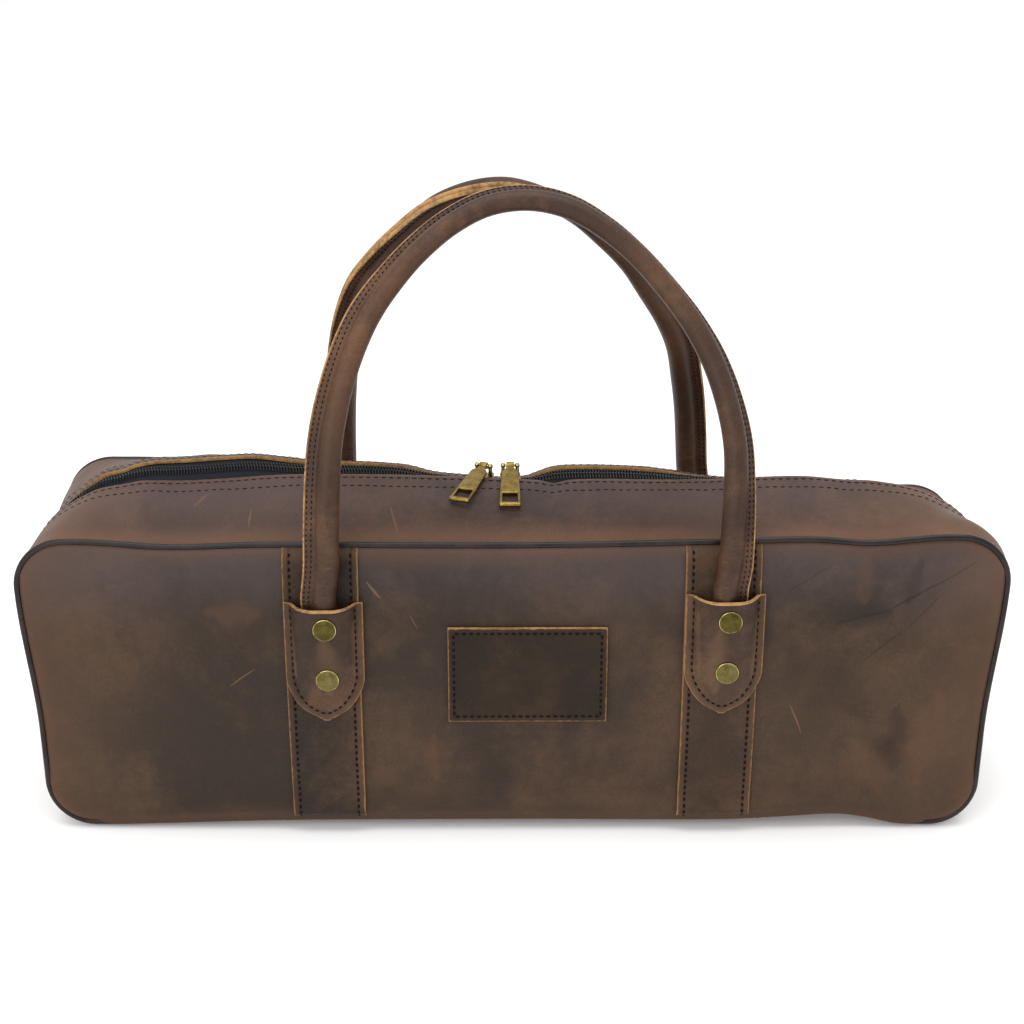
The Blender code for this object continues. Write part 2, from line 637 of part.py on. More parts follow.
def seated_tab_face(side, hand, x, z):
    # The tab is pressed flat under each rivet's cap.
    face = tab_face(side, hand, x, z)
    for height in rivet_heights(hand):
        away = max(abs(x - rivet_x(side, hand)), abs(z - height)) - RIVET_SEAT
        press = 1 - ease(away / (RIVET_SEAT / 2))
        face = mix(face, rivet_face(side, hand, height), press)
    return face


def tab_half_width(hand, z):
    # Straight sides, then a rounded point.
    down = (tab_top(hand) - TAB_LENGTH + TAB_POINT - z) / TAB_POINT
    if down <= 0:
        return TAB_WIDTH / 2
    return TAB_WIDTH / 2 * max(POINT_BLUNT, (1 - min(down, 1.0) ** POINT_POWER) ** POINT_SOFTNESS)


def tab_rows(hand):
    # Heights of a tab's rows, with the rivets' seats among them.
    upper, lower = rivet_heights(hand)
    bottom = tab_top(hand) - TAB_LENGTH
    rows = [tab_top(hand), upper + RIVET_SEAT, upper - RIVET_SEAT, (upper + lower) / 2,
            lower + RIVET_SEAT, lower - RIVET_SEAT]
    rows += [mix(lower - RIVET_SEAT, bottom, t) for t in (0.3, 0.6, 0.85, 1.0)]
    return rows


def tab_columns():
    # Columns as shares of the tab's half width, with the rivets' seats among them.
    half = TAB_WIDTH / 2
    seats = [(RIVET_SHIFT - RIVET_SEAT) / half, RIVET_SHIFT / half, (RIVET_SHIFT + RIVET_SEAT) / half]
    return [-1.0, -0.82, -0.58] + seats + [0.62, 0.82, 1.0]


def build_tab(side, hand, leather):
    grid = []
    for z in tab_rows(hand):
        row = []
        for share in tab_columns():
            x = tab_x(side, hand) + tab_half_width(hand, z) * share
            row.append((x, seated_tab_face(side, hand, x, z), z))
        grid.append(row)
    return panel_sheet("tab_" + SIDE_NAMES[side] + "_" + HAND_NAMES[hand], side, grid, leather)


def build_rivet(side, hand, height, place, brass):
    # A cap with a low dome; its flat back is on the tab.
    rings = ((1.0, 0.0), (1.0, 0.45), (0.84, 0.85), (0.45, 1.0))
    seat = rivet_face(side, hand, height) + FIT
    loops = []
    for spread, up in rings:
        loop = []
        for k in range(12):
            angle = 2 * math.pi * k / 12
            radius = RIVET_DIAMETER / 2 * spread
            x = rivet_x(side, hand) + radius * math.cos(angle)
            z = height + radius * math.sin(angle)
            loop.append((x, side * (seat + RIVET_HEIGHT * up), z))
        loops.append(loop)
    name = "rivet_" + SIDE_NAMES[side] + "_" + HAND_NAMES[hand] + "_" + place
    return sweep(name, loops, brass)


def build_patch(leather):
    grid = []
    for row in (-0.5, -0.2, 0.1, 0.3, 0.5):
        z = PATCH_CENTRE_Z + PATCH_HEIGHT * row
        line = []
        for column in (-0.5, -0.25, 0.0, 0.25, 0.5):
            x = PATCH_CENTRE_X + PATCH_WIDTH * column
            line.append((x, panel_face(FRONT, x, z) + FIT + LEATHER, z))
        grid.append(line)
    return panel_sheet("label_patch", FRONT, grid, leather)


def through(points, count):
    # Even stations on a smooth curve through the points.
    fine = []
    padded = [points[0] * 2 - points[1]] + points + [points[-1] * 2 - points[-2]]
    for a, b, c, d in zip(padded, padded[1:], padded[2:], padded[3:]):
        for k in range(12):
            t = k / 12
            fine.append(0.5 * (2 * b + (c - a) * t + (2 * a - 5 * b + 4 * c - d) * t ** 2
                               + (3 * b - a - 3 * c + d) * t ** 3))
    fine.append(points[-1])
    lengths = [0.0]
    for a, b in zip(fine, fine[1:]):
        lengths.append(lengths[-1] + (b - a).length)
    stations = []
    k = 0
    for n in range(count + 1):
        want = lengths[-1] * n / count
        while k < len(fine) - 2 and lengths[k + 1] < want:
            k += 1
        stations.append(fine[k].lerp(fine[k + 1], (want - lengths[k]) / (lengths[k + 1] - lengths[k])))
    return stations


def handle_lean(side, hand, x, z):
    # Distance of the tube's centre line from the bag's middle plane: against the strap below, and
    # leaning towards the other handle above the piping.
    foot = strap_face(side, x, min(z, tab_top(hand))) + FIT + handle_thickness(hand, z) / 2
    t = (z - BAG_HEIGHT) / (HANDLE_APEX - BAG_HEIGHT)
    return mix(foot, HANDLE_MEET, (ease(t) + max(t, 0.0)) / 2)


def hand_at(x):
    return LEFT if x < STRAP_CENTRE else RIGHT


def handle_line(side):
    # Stations of a handle's centre line, each with its half: flattened left end, bow, right end.
    half = STRAP_SPACING / 2
    rise = HANDLE_APEX - HANDLE_FOOT
    ends = {LEFT: [], RIGHT: []}
    for hand in (LEFT, RIGHT):
        for height, spread, drift in HANDLES[side][1:]:
            x = STRAP_CENTRE + half * (drift + hand * spread)
            ends[hand].append(Vector((x, 0.0, HANDLE_FOOT + rise * height)))
    bow = through(ends[LEFT] + ends[RIGHT][-2::-1], HANDLE_STEPS)
    bow = [(hand_at(p.x), p) for p in bow if p.z > tab_top(hand_at(p.x)) + 2 * HANDLE_ROUND]
    spread, drift = HANDLES[side][0][1:]
    feet = []
    for hand in (LEFT, RIGHT):
        x = STRAP_CENTRE + half * (drift + hand * spread)
        mouth = tab_top(hand) + HANDLE_ROUND
        heights = [mix(handle_foot(hand), mouth, place) for place, swell in FOOT_SWELL]
        feet.append([(hand, Vector((x, 0.0, z))) for z in heights])
    stations = feet[0] + bow + feet[1][::-1]
    return [(hand, Vector((p.x, side * handle_lean(side, hand, p.x, p.z), p.z))) for hand, p in stations]


def handle_section(z):
    # The tube with its flange at a height; the tube slims towards the top.
    slimming = ease((z - BAG_HEIGHT) / (HANDLE_APEX - BAG_HEIGHT))
    radius = HANDLE_DIAMETER / 2 * mix(1, HANDLE_SLIMMING, slimming)
    notch = math.asin(FLANGE_THICKNESS / 2 / radius)
    section = []
    for k in range(9):
        angle = mix(notch, 2 * math.pi - notch, k / 8)
        section.append((radius * math.cos(angle), radius * math.sin(angle)))
    section.append((radius + FLANGE_WIDTH, -FLANGE_THICKNESS / 2))
    section.append((radius + FLANGE_WIDTH, FLANGE_THICKNESS / 2))
    return section


def build_handle(side, leather):
    stations = handle_line(side)
    heart = Vector((STRAP_CENTRE, 0.0, mix(HANDLE_FOOT, HANDLE_APEX, LEAN_HEART)))
    runs = [0.0]
    for first, second in zip(stations, stations[1:]):
        runs.append(runs[-1] + (second[1] - first[1]).length)
    rings = []
    for k, (hand, centre) in enumerate(stations):
        before = stations[max(k - 1, 0)][1]
        after = stations[min(k + 1, len(stations) - 1)][1]
        tangent = (after - before).normalized()
        if centre.z < tab_top(hand) + 2 * HANDLE_ROUND:
            tangent = Vector((0, 0, math.copysign(1, tangent.z)))
        out = centre - heart
        out.y = 0.0
        if centre.z < heart.z:
            out.z = 0.0
        out = (out - tangent * out.dot(tangent)).normalized()
        inward = Vector((0.0, -side, 0.0))
        inward = (inward - tangent * inward.dot(tangent) - out * inward.dot(out)).normalized()
        turn = math.radians(between(FLANGE_TURNS[side], runs[k] / runs[-1]))
        along = out * math.cos(turn) + inward * math.sin(turn)
        across = inward * math.cos(turn) - out * math.sin(turn)
        squash = handle_thickness(hand, centre.z) / HANDLE_DIAMETER
        section = handle_section(centre.z)
        rings.append([centre + along * a + across * (b * squash) for a, b in section])
    return sweep("handle_" + SIDE_NAMES[side], rings, leather)


def box(size, centre):
    made = bmesh.new()
    bmesh.ops.create_cube(made, size=1.0)
    bmesh.ops.scale(made, vec=Vector(size), verts=made.verts)
    bmesh.ops.translate(made, vec=Vector(centre), verts=made.verts)
    return made


def rod(radius, length, centre, sides=10):
    # A rod along X.
    made = bmesh.new()
    bmesh.ops.create_cone(made, cap_ends=True, segments=sides, radius1=radius, radius2=radius, depth=length)
    bmesh.ops.rotate(made, matrix=Matrix.Rotation(math.pi / 2, 3, "Y"), verts=made.verts)
    bmesh.ops.translate(made, vec=Vector(centre), verts=made.verts)
    return made


def ball(radius, centre):
    made = bmesh.new()
    bmesh.ops.create_uvsphere(made, u_segments=8, v_segments=6, radius=radius)
    bmesh.ops.translate(made, vec=Vector(centre), verts=made.verts)
    return made


def guide(name, shape):
    # A hidden helper that a Boolean reads.
    mesh = bpy.data.meshes.new(name)
    shape.to_mesh(mesh)
    shape.free()
    obj = bpy.data.objects.new(name, mesh)
    bpy.context.scene.collection.objects.link(obj)
    obj.hide_render = True
    obj.display_type = "WIRE"
    return obj


def combine(obj, name, shape, operation):
    helper = guide(name, shape)
    helper.parent = obj
    step = obj.modifiers.new(name, "BOOLEAN")
    step.object = helper
    step.operation = operation
    step.solver = "EXACT"


def coil_level(x):
    # Height of the tapes' face under the coil, straight from one station of the zip to the next.
    near = math.floor(x / ZIP_SPAN) * ZIP_SPAN
    stations = [top_station(near), top_station(near + ZIP_SPAN)]
    ends = [gusset_point(station, 0.0, coil_seat(station[0])).z for station in stations]
    return mix(*ends, (x - near) / ZIP_SPAN)


def slider_spot(x):
    # Heights of a slider's plate and of its pin.
    seat = max(coil_level(x + SLIDER_LENGTH * share) for share in (-0.5, 0.0, 0.5))
    coil_top = seat + FIT + COIL_THICKNESS
    plate_top = coil_top + FIT + SLIDER_PLATE
    return plate_top, plate_top + PIN_HEIGHT


def build_slider(hand, x, yaw, brass):
    plate_top, pin = slider_spot(x)
    half_width = COIL_WIDTH / 2 + FIT + SLIDER_FLANGE
    plate_z = plate_top - SLIDER_PLATE / 2 - pin
    name = "slider_" + HAND_NAMES[hand]
    mesh = bpy.data.meshes.new(name)
    plate = box((SLIDER_LENGTH, 2 * half_width, SLIDER_PLATE), (0, 0, plate_z))
    plate.to_mesh(mesh)
    plate.free()
    obj = finish(mesh, name, brass)
    obj.location = (x, 0.0, pin)
    depth = COIL_THICKNESS * SLIDER_GRIP + SLIDER_PLATE
    for flank in (-1, 1):
        y = flank * (half_width - SLIDER_FLANGE / 2)
        z = plate_z + SLIDER_PLATE / 2 - depth / 2
        flange = box((SLIDER_LENGTH, SLIDER_FLANGE, depth), (0, y, z))
        combine(obj, f"{name}_flange_{flank + 1}", flange, "UNION")
    turn = Matrix.Rotation(yaw, 3, "Z")
    reach = PULL_NECK / 2 + FIT + KNOB_DIAMETER / 2
    pin_rod = rod(PIN_DIAMETER / 2, 2 * reach, (0, 0, 0))
    bmesh.ops.rotate(pin_rod, matrix=turn, verts=pin_rod.verts)
    combine(obj, name + "_pin", pin_rod, "UNION")
    for flank in (-1, 1):
        knob = ball(KNOB_DIAMETER / 2, (flank * reach, 0, 0))
        foot = PIN_HEIGHT + SLIDER_PLATE / 2
        size = (KNOB_DIAMETER * POST_WIDTH, KNOB_DIAMETER * POST_DEPTH, foot)
        post = box(size, (flank * reach, 0, -foot / 2))
        for shape, kind in ((knob, "knob"), (post, "post")):
            bmesh.ops.rotate(shape, matrix=turn, verts=shape.verts)
            combine(obj, f"{name}_{kind}_{flank + 1}", shape, "UNION")
    return obj


def pull_droop(x, yaw, pin):
    # The steepest slope at which the pull lies clear on the gusset.
    slopes = []
    for k in range(2, 13):
        reach = PULL_LENGTH * k / 12
        under = PULL_BAR / 2 if k > 10 else PULL_THICKNESS / 2
        for edge in (-0.5, 0.0, 0.5):
            px = x + math.sin(yaw) * reach + edge * PULL_END_WIDTH
            py = -math.cos(yaw) * reach
            if abs(py) < ZIP_EDGE_Y - FIT:
                continue
            slopes.append(math.asin((pin - gusset_height(px, py) - under - 2 * FIT) / reach))
    return min(slopes)


def build_pull(hand, x, yaw, brass):
    # Modelled pointing along -Y from the pin, then drooped and turned.
    pin = slider_spot(x)[1]
    name = "pull_" + HAND_NAMES[hand]
    shoulder = PULL_NECK * PULL_SHOULDER
    window_top = PULL_LENGTH - PULL_BAR - WINDOW_HEIGHT
    outline = ((0.0, PULL_NECK / 2), (shoulder, PULL_NECK / 2),
               (shoulder * PULL_WIDENING, PULL_TOP_WIDTH / 2),
               (PULL_LENGTH - PULL_BAR / 2, PULL_END_WIDTH / 2))
    points = [(-half, -reach) for reach, half in outline] + [(half, -reach) for reach, half in outline[::-1]]
    mesh = bpy.data.meshes.new(name)
    bm = bmesh.new()
    verts = [bm.verts.new((px, py, -PULL_THICKNESS / 2)) for px, py in points]
    face = bm.faces.new(verts)
    lifted = bmesh.ops.extrude_face_region(bm, geom=[face])
    moved = [v for v in lifted["geom"] if isinstance(v, bmesh.types.BMVert)]
    bmesh.ops.translate(bm, vec=Vector((0, 0, PULL_THICKNESS)), verts=moved)
    bmesh.ops.recalc_face_normals(bm, faces=bm.faces)
    bm.to_mesh(mesh)
    bm.free()
    obj = finish(mesh, name, brass)
    obj.location = (x, 0.0, pin)
    obj.rotation_euler = (pull_droop(x, yaw, pin), 0.0, yaw)
    bar = box((PULL_END_WIDTH, PULL_BAR, PULL_BAR), (0, PULL_BAR / 2 - PULL_LENGTH, 0))
    combine(obj, name + "_bar", bar, "UNION")
    eye = rod(PIN_DIAMETER / 2 + 2 * FIT + PULL_THICKNESS / 2, PULL_NECK, (0, 0, 0), 12)
    combine(obj, name + "_eye", eye, "UNION")
    bore = rod(PIN_DIAMETER / 2 + FIT, PULL_NECK * 2, (0, 0, 0), 10)
    combine(obj, name + "_bore", bore, "DIFFERENCE")
    window = box((WINDOW_WIDTH, WINDOW_HEIGHT, PULL_BAR * 2), (0, -window_top - WINDOW_HEIGHT / 2, 0))
    combine(obj, name + "_window", window, "DIFFERENCE")
    return obj


def build_bag():
    brown = material("brown_leather", (0.085, 0.045, 0.028), 0.5)
    strap_leather = material("strap_leather", (0.075, 0.042, 0.028), 0.52)
    handle_leather = material("handle_leather", (0.16, 0.08, 0.045), 0.45)
    piping_leather = material("piping_leather", (0.025, 0.012, 0.01), 0.28)
    patch_leather = material("patch_leather", (0.09, 0.05, 0.03), 0.55)
    tape = material("zip_tape", (0.02, 0.022, 0.03), 0.8)
    nylon = material("zip_coil", (0.012, 0.012, 0.013), 0.4)
    brass = material("antique_brass", (0.30, 0.22, 0.08), 0.38, 1.0)
    for side in (FRONT, REAR):
        build_panel(side, brown)
        build_zip_gusset(side, brown)
        build_piping(side, piping_leather)
        build_tape(side, tape)
        build_handle(side, handle_leather)
        for hand in (LEFT, RIGHT):
            build_strap(side, hand, strap_leather)
            build_tab(side, hand, strap_leather)
            for height, place in zip(rivet_heights(hand), ("upper", "lower")):
                build_rivet(side, hand, height, place, brass)
    build_base(brown)
    build_coil(nylon)
    build_patch(patch_leather)
    for hand, x, yaw in ((LEFT, SLIDER_LEFT_X, LEFT_PULL_YAW), (RIGHT, SLIDER_RIGHT_X, 0.0)):
        build_slider(hand, x, yaw, brass)
        build_pull(hand, x, yaw, brass)


clear_scene()
build_bag()
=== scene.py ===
import math
import random

import bpy
from mathutils import Matrix, Vector, kdtree, noise


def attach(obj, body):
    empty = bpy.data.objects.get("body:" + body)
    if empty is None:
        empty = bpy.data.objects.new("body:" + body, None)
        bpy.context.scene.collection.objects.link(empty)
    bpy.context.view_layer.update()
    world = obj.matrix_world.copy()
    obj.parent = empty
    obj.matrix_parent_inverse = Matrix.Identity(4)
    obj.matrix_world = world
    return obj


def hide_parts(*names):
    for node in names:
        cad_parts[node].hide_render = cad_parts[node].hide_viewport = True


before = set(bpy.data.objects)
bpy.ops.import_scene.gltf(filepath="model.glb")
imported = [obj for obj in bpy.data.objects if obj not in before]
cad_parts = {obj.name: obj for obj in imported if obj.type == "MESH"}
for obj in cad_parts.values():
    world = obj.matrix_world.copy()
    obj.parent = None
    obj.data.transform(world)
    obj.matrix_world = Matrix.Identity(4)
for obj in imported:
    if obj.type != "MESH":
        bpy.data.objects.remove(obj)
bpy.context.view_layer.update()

mm = 0.001
chance = random.Random(11)
front, rear = -1, 1
left, right = -1, 1
sideNames = {front: "front", rear: "rear"}
handNames = {left: "left", right: "right"}
print("frame loaded")


def feed(tree, made, sockets):
    for key, value in sockets.items():
        if isinstance(value, bpy.types.NodeSocket):
            tree.links.new(value, made.inputs[key])
        else:
            made.inputs[key].default_value = value
    return made


def put(tree, kind, sockets=None, **settings):
    made = tree.nodes.new("ShaderNode" + kind)
    for key, value in settings.items():
        setattr(made, key, value)
    return feed(tree, made, sockets or {})


def calc(tree, operation, *values):
    made = put(tree, "Math", dict(enumerate(values)), operation=operation)
    return made.outputs[0]


def times(tree, first, second):
    return calc(tree, "MULTIPLY", first, second)


def plus(tree, first, second):
    return calc(tree, "ADD", first, second)


def minus(tree, first, second):
    return calc(tree, "SUBTRACT", first, second)


def vectors(tree, operation, first, second):
    key = "Scale" if operation == "SCALE" else 1
    made = put(tree, "VectorMath", {0: first, key: second}, operation=operation)
    return made.outputs["Value" if operation in ("DOT_PRODUCT", "DISTANCE") else "Vector"]


def ramp(tree, value, low, high, start=0.0, end=1.0):
    made = put(tree, "MapRange", {"Value": value, "From Min": low, "From Max": high, "To Min": start,
                                  "To Max": end}, interpolation_type="SMOOTHSTEP")
    return made.outputs[0]


def cloud(tree, vector, scale, detail=3.0, roughness=0.55, distortion=0.0):
    made = put(tree, "TexNoise", {"Vector": vector, "Scale": scale, "Detail": detail,
                                  "Roughness": roughness, "Distortion": distortion})
    return made.outputs["Fac"]


def tint(tree, factor, first, second, mode="MIX"):
    made = put(tree, "Mix", {0: factor, 6: first, 7: second}, data_type="RGBA", blend_type=mode)
    return made.outputs[2]


def stretched(tree, vector, scale, turn=(0.0, 0.0, 0.0)):
    made = put(tree, "Mapping", {"Vector": vector, "Scale": scale, "Rotation": turn})
    return made.outputs[0]


def newGroup(name, takes, gives):
    tree = bpy.data.node_groups.new(name, "ShaderNodeTree")
    for label, kind, value in takes:
        made = tree.interface.new_socket(label, in_out="INPUT", socket_type="NodeSocket" + kind)
        if value is not None:
            made.default_value = value
    for label, kind in gives:
        tree.interface.new_socket(label, in_out="OUTPUT", socket_type="NodeSocket" + kind)
    return tree, tree.nodes.new("NodeGroupInput").outputs, tree.nodes.new("NodeGroupOutput").inputs


def useGroup(tree, group, **sockets):
    made = tree.nodes.new("ShaderNodeGroup")
    made.node_tree = group
    return feed(tree, made, sockets).outputs


def makeHideTone():
    # cloudy pull-up leather: dark oil, the main brown, and light where it has been bent
    tree, takes, gives = newGroup("hideTone", [
        ("Vector", "Vector", None), ("Dark", "Color", (0.02, 0.01, 0.008, 1)),
        ("Main", "Color", (0.05, 0.03, 0.02, 1)), ("Light", "Color", (0.15, 0.08, 0.04, 1)),
        ("Lightness", "Float", 0.5)], [("Color", "Color"), ("Mottle", "Float")])
    vector = takes["Vector"]
    big = cloud(tree, vector, 8.0, 2.0, 0.5, 0.6)
    middle = cloud(tree, vector, 21.0, 5.0, 0.6, 0.4)
    fine = cloud(tree, vector, 170.0, 8.0, 0.72)
    tone = plus(tree, times(tree, big, 0.6), times(tree, middle, 0.28))
    tone = plus(tree, tone, times(tree, fine, 0.12))
    skin = tint(tree, ramp(tree, tone, 0.36, 0.62), takes["Dark"], takes["Main"])
    worn = plus(tree, times(tree, middle, 0.7), times(tree, fine, 0.3))
    worn = times(tree, ramp(tree, worn, 0.44, 0.74), takes["Lightness"])
    skin = tint(tree, worn, skin, takes["Light"])
    speck = ramp(tree, cloud(tree, vector, 1100.0, 2.0, 0.6), 0.3, 0.7, 0.86, 1.14)
    speck = put(tree, "CombineXYZ", {0: speck, 1: speck, 2: speck}).outputs[0]
    skin = vectors(tree, "MULTIPLY", skin, speck)
    tree.links.new(skin, gives["Color"])
    tree.links.new(tone, gives["Mottle"])
    return tree


def makeHideGrain():
    # pebbled grain with finer creases between
    tree, takes, gives = newGroup("hideGrain", [("Vector", "Vector", None), ("Scale", "Float", 900.0)],
                                  [("Height", "Float")])
    bent = put(tree, "TexNoise", {"Vector": takes["Vector"], "Scale": 300.0}).outputs["Color"]
    bent = vectors(tree, "SCALE", bent, 0.0012)
    vector = vectors(tree, "ADD", takes["Vector"], bent)
    cells = put(tree, "TexVoronoi", {"Vector": vector, "Scale": takes["Scale"]}, feature="DISTANCE_TO_EDGE")
    cells = ramp(tree, cells.outputs["Distance"], 0.0, 0.35)
    creases = cloud(tree, vector, times(tree, takes["Scale"], 0.3), 5.0, 0.65)
    tree.links.new(plus(tree, times(tree, cells, 0.45), times(tree, creases, 0.9)), gives["Height"])
    return tree


def makeScuffs():
    # short thin scratches in a few directions, only in some areas
    tree, takes, gives = newGroup("scuffs", [("Vector", "Vector", None), ("Amount", "Float", 0.5)],
                                  [("Mask", "Float")])
    total = None
    for turn, along, across in (((0.0, 0.5, 0.3), 22.0, 700.0), ((0.2, -0.7, 0.0), 30.0, 900.0),
                                ((0.0, 1.3, 0.5), 26.0, 820.0)):
        lines = cloud(tree, stretched(tree, takes["Vector"], (along, along, across), turn), 1.0, 2.0, 0.5)
        lines = ramp(tree, lines, 0.7, 0.8)
        total = lines if total is None else calc(tree, "MAXIMUM", total, lines)
    area = ramp(tree, cloud(tree, takes["Vector"], 24.0, 2.0), 0.5, 0.62)
    tree.links.new(times(tree, times(tree, total, area), takes["Amount"]), gives["Mask"])
    return tree


def makeMark():
    # one soft line between two points, seen square to the front or to the top
    tree, takes, gives = newGroup("mark", [
        ("Vector", "Vector", None), ("Start", "Vector", None), ("End", "Vector", None),
        ("Width", "Float", 0.002), ("Wander", "Float", 0.003), ("Plane", "Vector", (1.0, 0.0, 1.0))],
        [("Mask", "Float")])
    shift = put(tree, "TexNoise", {"Vector": takes["Vector"], "Scale": 45.0, "Detail": 4.0})
    shift = vectors(tree, "SUBTRACT", shift.outputs["Color"], (0.5, 0.5, 0.5))
    shift = vectors(tree, "SCALE", shift, takes["Wander"])
    point = vectors(tree, "ADD", takes["Vector"], shift)
    point = vectors(tree, "MULTIPLY", point, takes["Plane"])
    line = vectors(tree, "SUBTRACT", takes["End"], takes["Start"])
    arm = vectors(tree, "SUBTRACT", point, takes["Start"])
    along = vectors(tree, "DOT_PRODUCT", arm, line)
    full = vectors(tree, "DOT_PRODUCT", line, line)
    share = put(tree, "Clamp", {0: calc(tree, "DIVIDE", along, full)}).outputs[0]
    foot = vectors(tree, "SCALE", line, share)
    away = vectors(tree, "DISTANCE", arm, foot)
    ends = times(tree, times(tree, share, minus(tree, 1.0, share)), 4.0)
    width = times(tree, takes["Width"], plus(tree, times(tree, ends, 0.7), 0.3))
    tree.links.new(ramp(tree, calc(tree, "DIVIDE", away, width), 0.1, 1.0, 1.0, 0.0), gives["Mask"])
    return tree


hideTone = makeHideTone()
hideGrain = makeHideGrain()
scuffs = makeScuffs()
mark = makeMark()


def newMaterial(name):
    made = bpy.data.materials.new(name)
    made.use_nodes = True
    tree = made.node_tree
    shader = tree.nodes["Principled BSDF"]
    place = tree.nodes.new("ShaderNodeTexCoord")
    return made, tree, shader, place.outputs["Object"], place.outputs["UV"]


def bump(tree, shader, height, strength, distance):
    made = put(tree, "Bump", {"Height": height, "Strength": strength, "Distance": distance})
    tree.links.new(made.outputs[0], shader.inputs["Normal"])


def makeHide(name, look):
    made, tree, shader, place, _ = newMaterial(name)
    tone = useGroup(tree, hideTone, Vector=place, Dark=look["dark"], Main=look["main"], Light=look["light"],
                    Lightness=look["lightness"])
    skin = tone["Color"]
    x, y, z = put(tree, "SeparateXYZ", {0: place}).outputs
    for axis, drift, shadeColour, low, high, amount in look.get("bands", ()):
        band = {"x": x, "y": y, "z": z}[axis]
        fog = plus(tree, band, times(tree, minus(tree, tone["Mottle"], 0.5), drift))
        skin = tint(tree, ramp(tree, fog, low, high, 0.0, amount), skin, shadeColour)
    lines = useGroup(tree, scuffs, Vector=place, Amount=look["scuffs"])["Mask"]
    skin = tint(tree, lines, skin, look["light"])
    plane = look.get("plane", (1, 0, 1))
    for start, end, width, wander, shadeColour, amount in look.get("marks", ()):
        ends = [(a * mm, plane[1] * b * mm, plane[2] * b * mm) for a, b in (start, end)]
        mask = useGroup(tree, mark, Vector=place, Start=ends[0], End=ends[1], Width=width * mm,
                        Wander=wander * mm, Plane=plane)["Mask"]
        mask = times(tree, mask, amount)
        skin = tint(tree, mask, skin, shadeColour)
    rough = ramp(tree, tone["Mottle"], 0.35, 0.65, look["gloss"][0], look["gloss"][1])
    height = useGroup(tree, hideGrain, Vector=place, Scale=look["grain"])["Height"]
    if look.get("rim"):
        away = put(tree, "Attribute", attribute_name="edge").outputs["Fac"]
        away = plus(tree, away, times(tree, minus(tree, tone["Mottle"], 0.5), 0.03))
        shadeColour, reach, amount = look["rim"]
        skin = tint(tree, ramp(tree, away, 0.0, reach, amount, 0.0), skin, shadeColour)
    if look.get("edged"):
        away = put(tree, "Attribute", attribute_name="edge").outputs["Fac"]
        ragged = times(tree, minus(tree, cloud(tree, place, 260.0, 4.0), 0.5), 0.0016)
        ragged = plus(tree, away, ragged)
        skin = tint(tree, ramp(tree, ragged, 0.0001, 0.0008, 0.7, 0.0), skin, look["edged"])
        skin = tint(tree, ramp(tree, ragged, 0.0006, 0.005, 0.2, 0.0), skin, look["light"])
        groove = calc(tree, "ABSOLUTE", minus(tree, away, look["inset"]))
        groove = ramp(tree, groove, 0.0003, 0.0011, 1.0, 0.0)
        skin = tint(tree, times(tree, groove, 0.3), skin, look["dark"])
        height = minus(tree, height, times(tree, groove, 1.6))
    tree.links.new(skin, shader.inputs["Base Color"])
    tree.links.new(rough, shader.inputs["Roughness"])
    feed(tree, shader, {"Specular IOR Level": look["shine"], "Coat Weight": look.get("wax", 0.0),
                         "Coat Roughness": 0.42, "Sheen Weight": look.get("nap", 0.0),
                         "Sheen Roughness": 0.45})
    bump(tree, shader, height, look["relief"], 0.0004)
    return made


def colour(red, green, blue):
    # a screen colour, 0 to 255, as the shader takes it
    shares = [c / 255 for c in (red, green, blue)]
    return (*[((c + 0.055) / 1.055) ** 2.4 if c > 10 / 255 else c / 12.92 for c in shares], 1.0)


rustTan = colour(102, 70, 46)
# painted shade: a near-black brown laid along folds, creases and dents
paintedShadeDark = colour(16, 11, 9)
# painted sheen: a grey-blue haze of reflected light, mixed into the leather's colour
paintedGreySheen = colour(80, 72, 76)
paleScratch = colour(140, 104, 72)

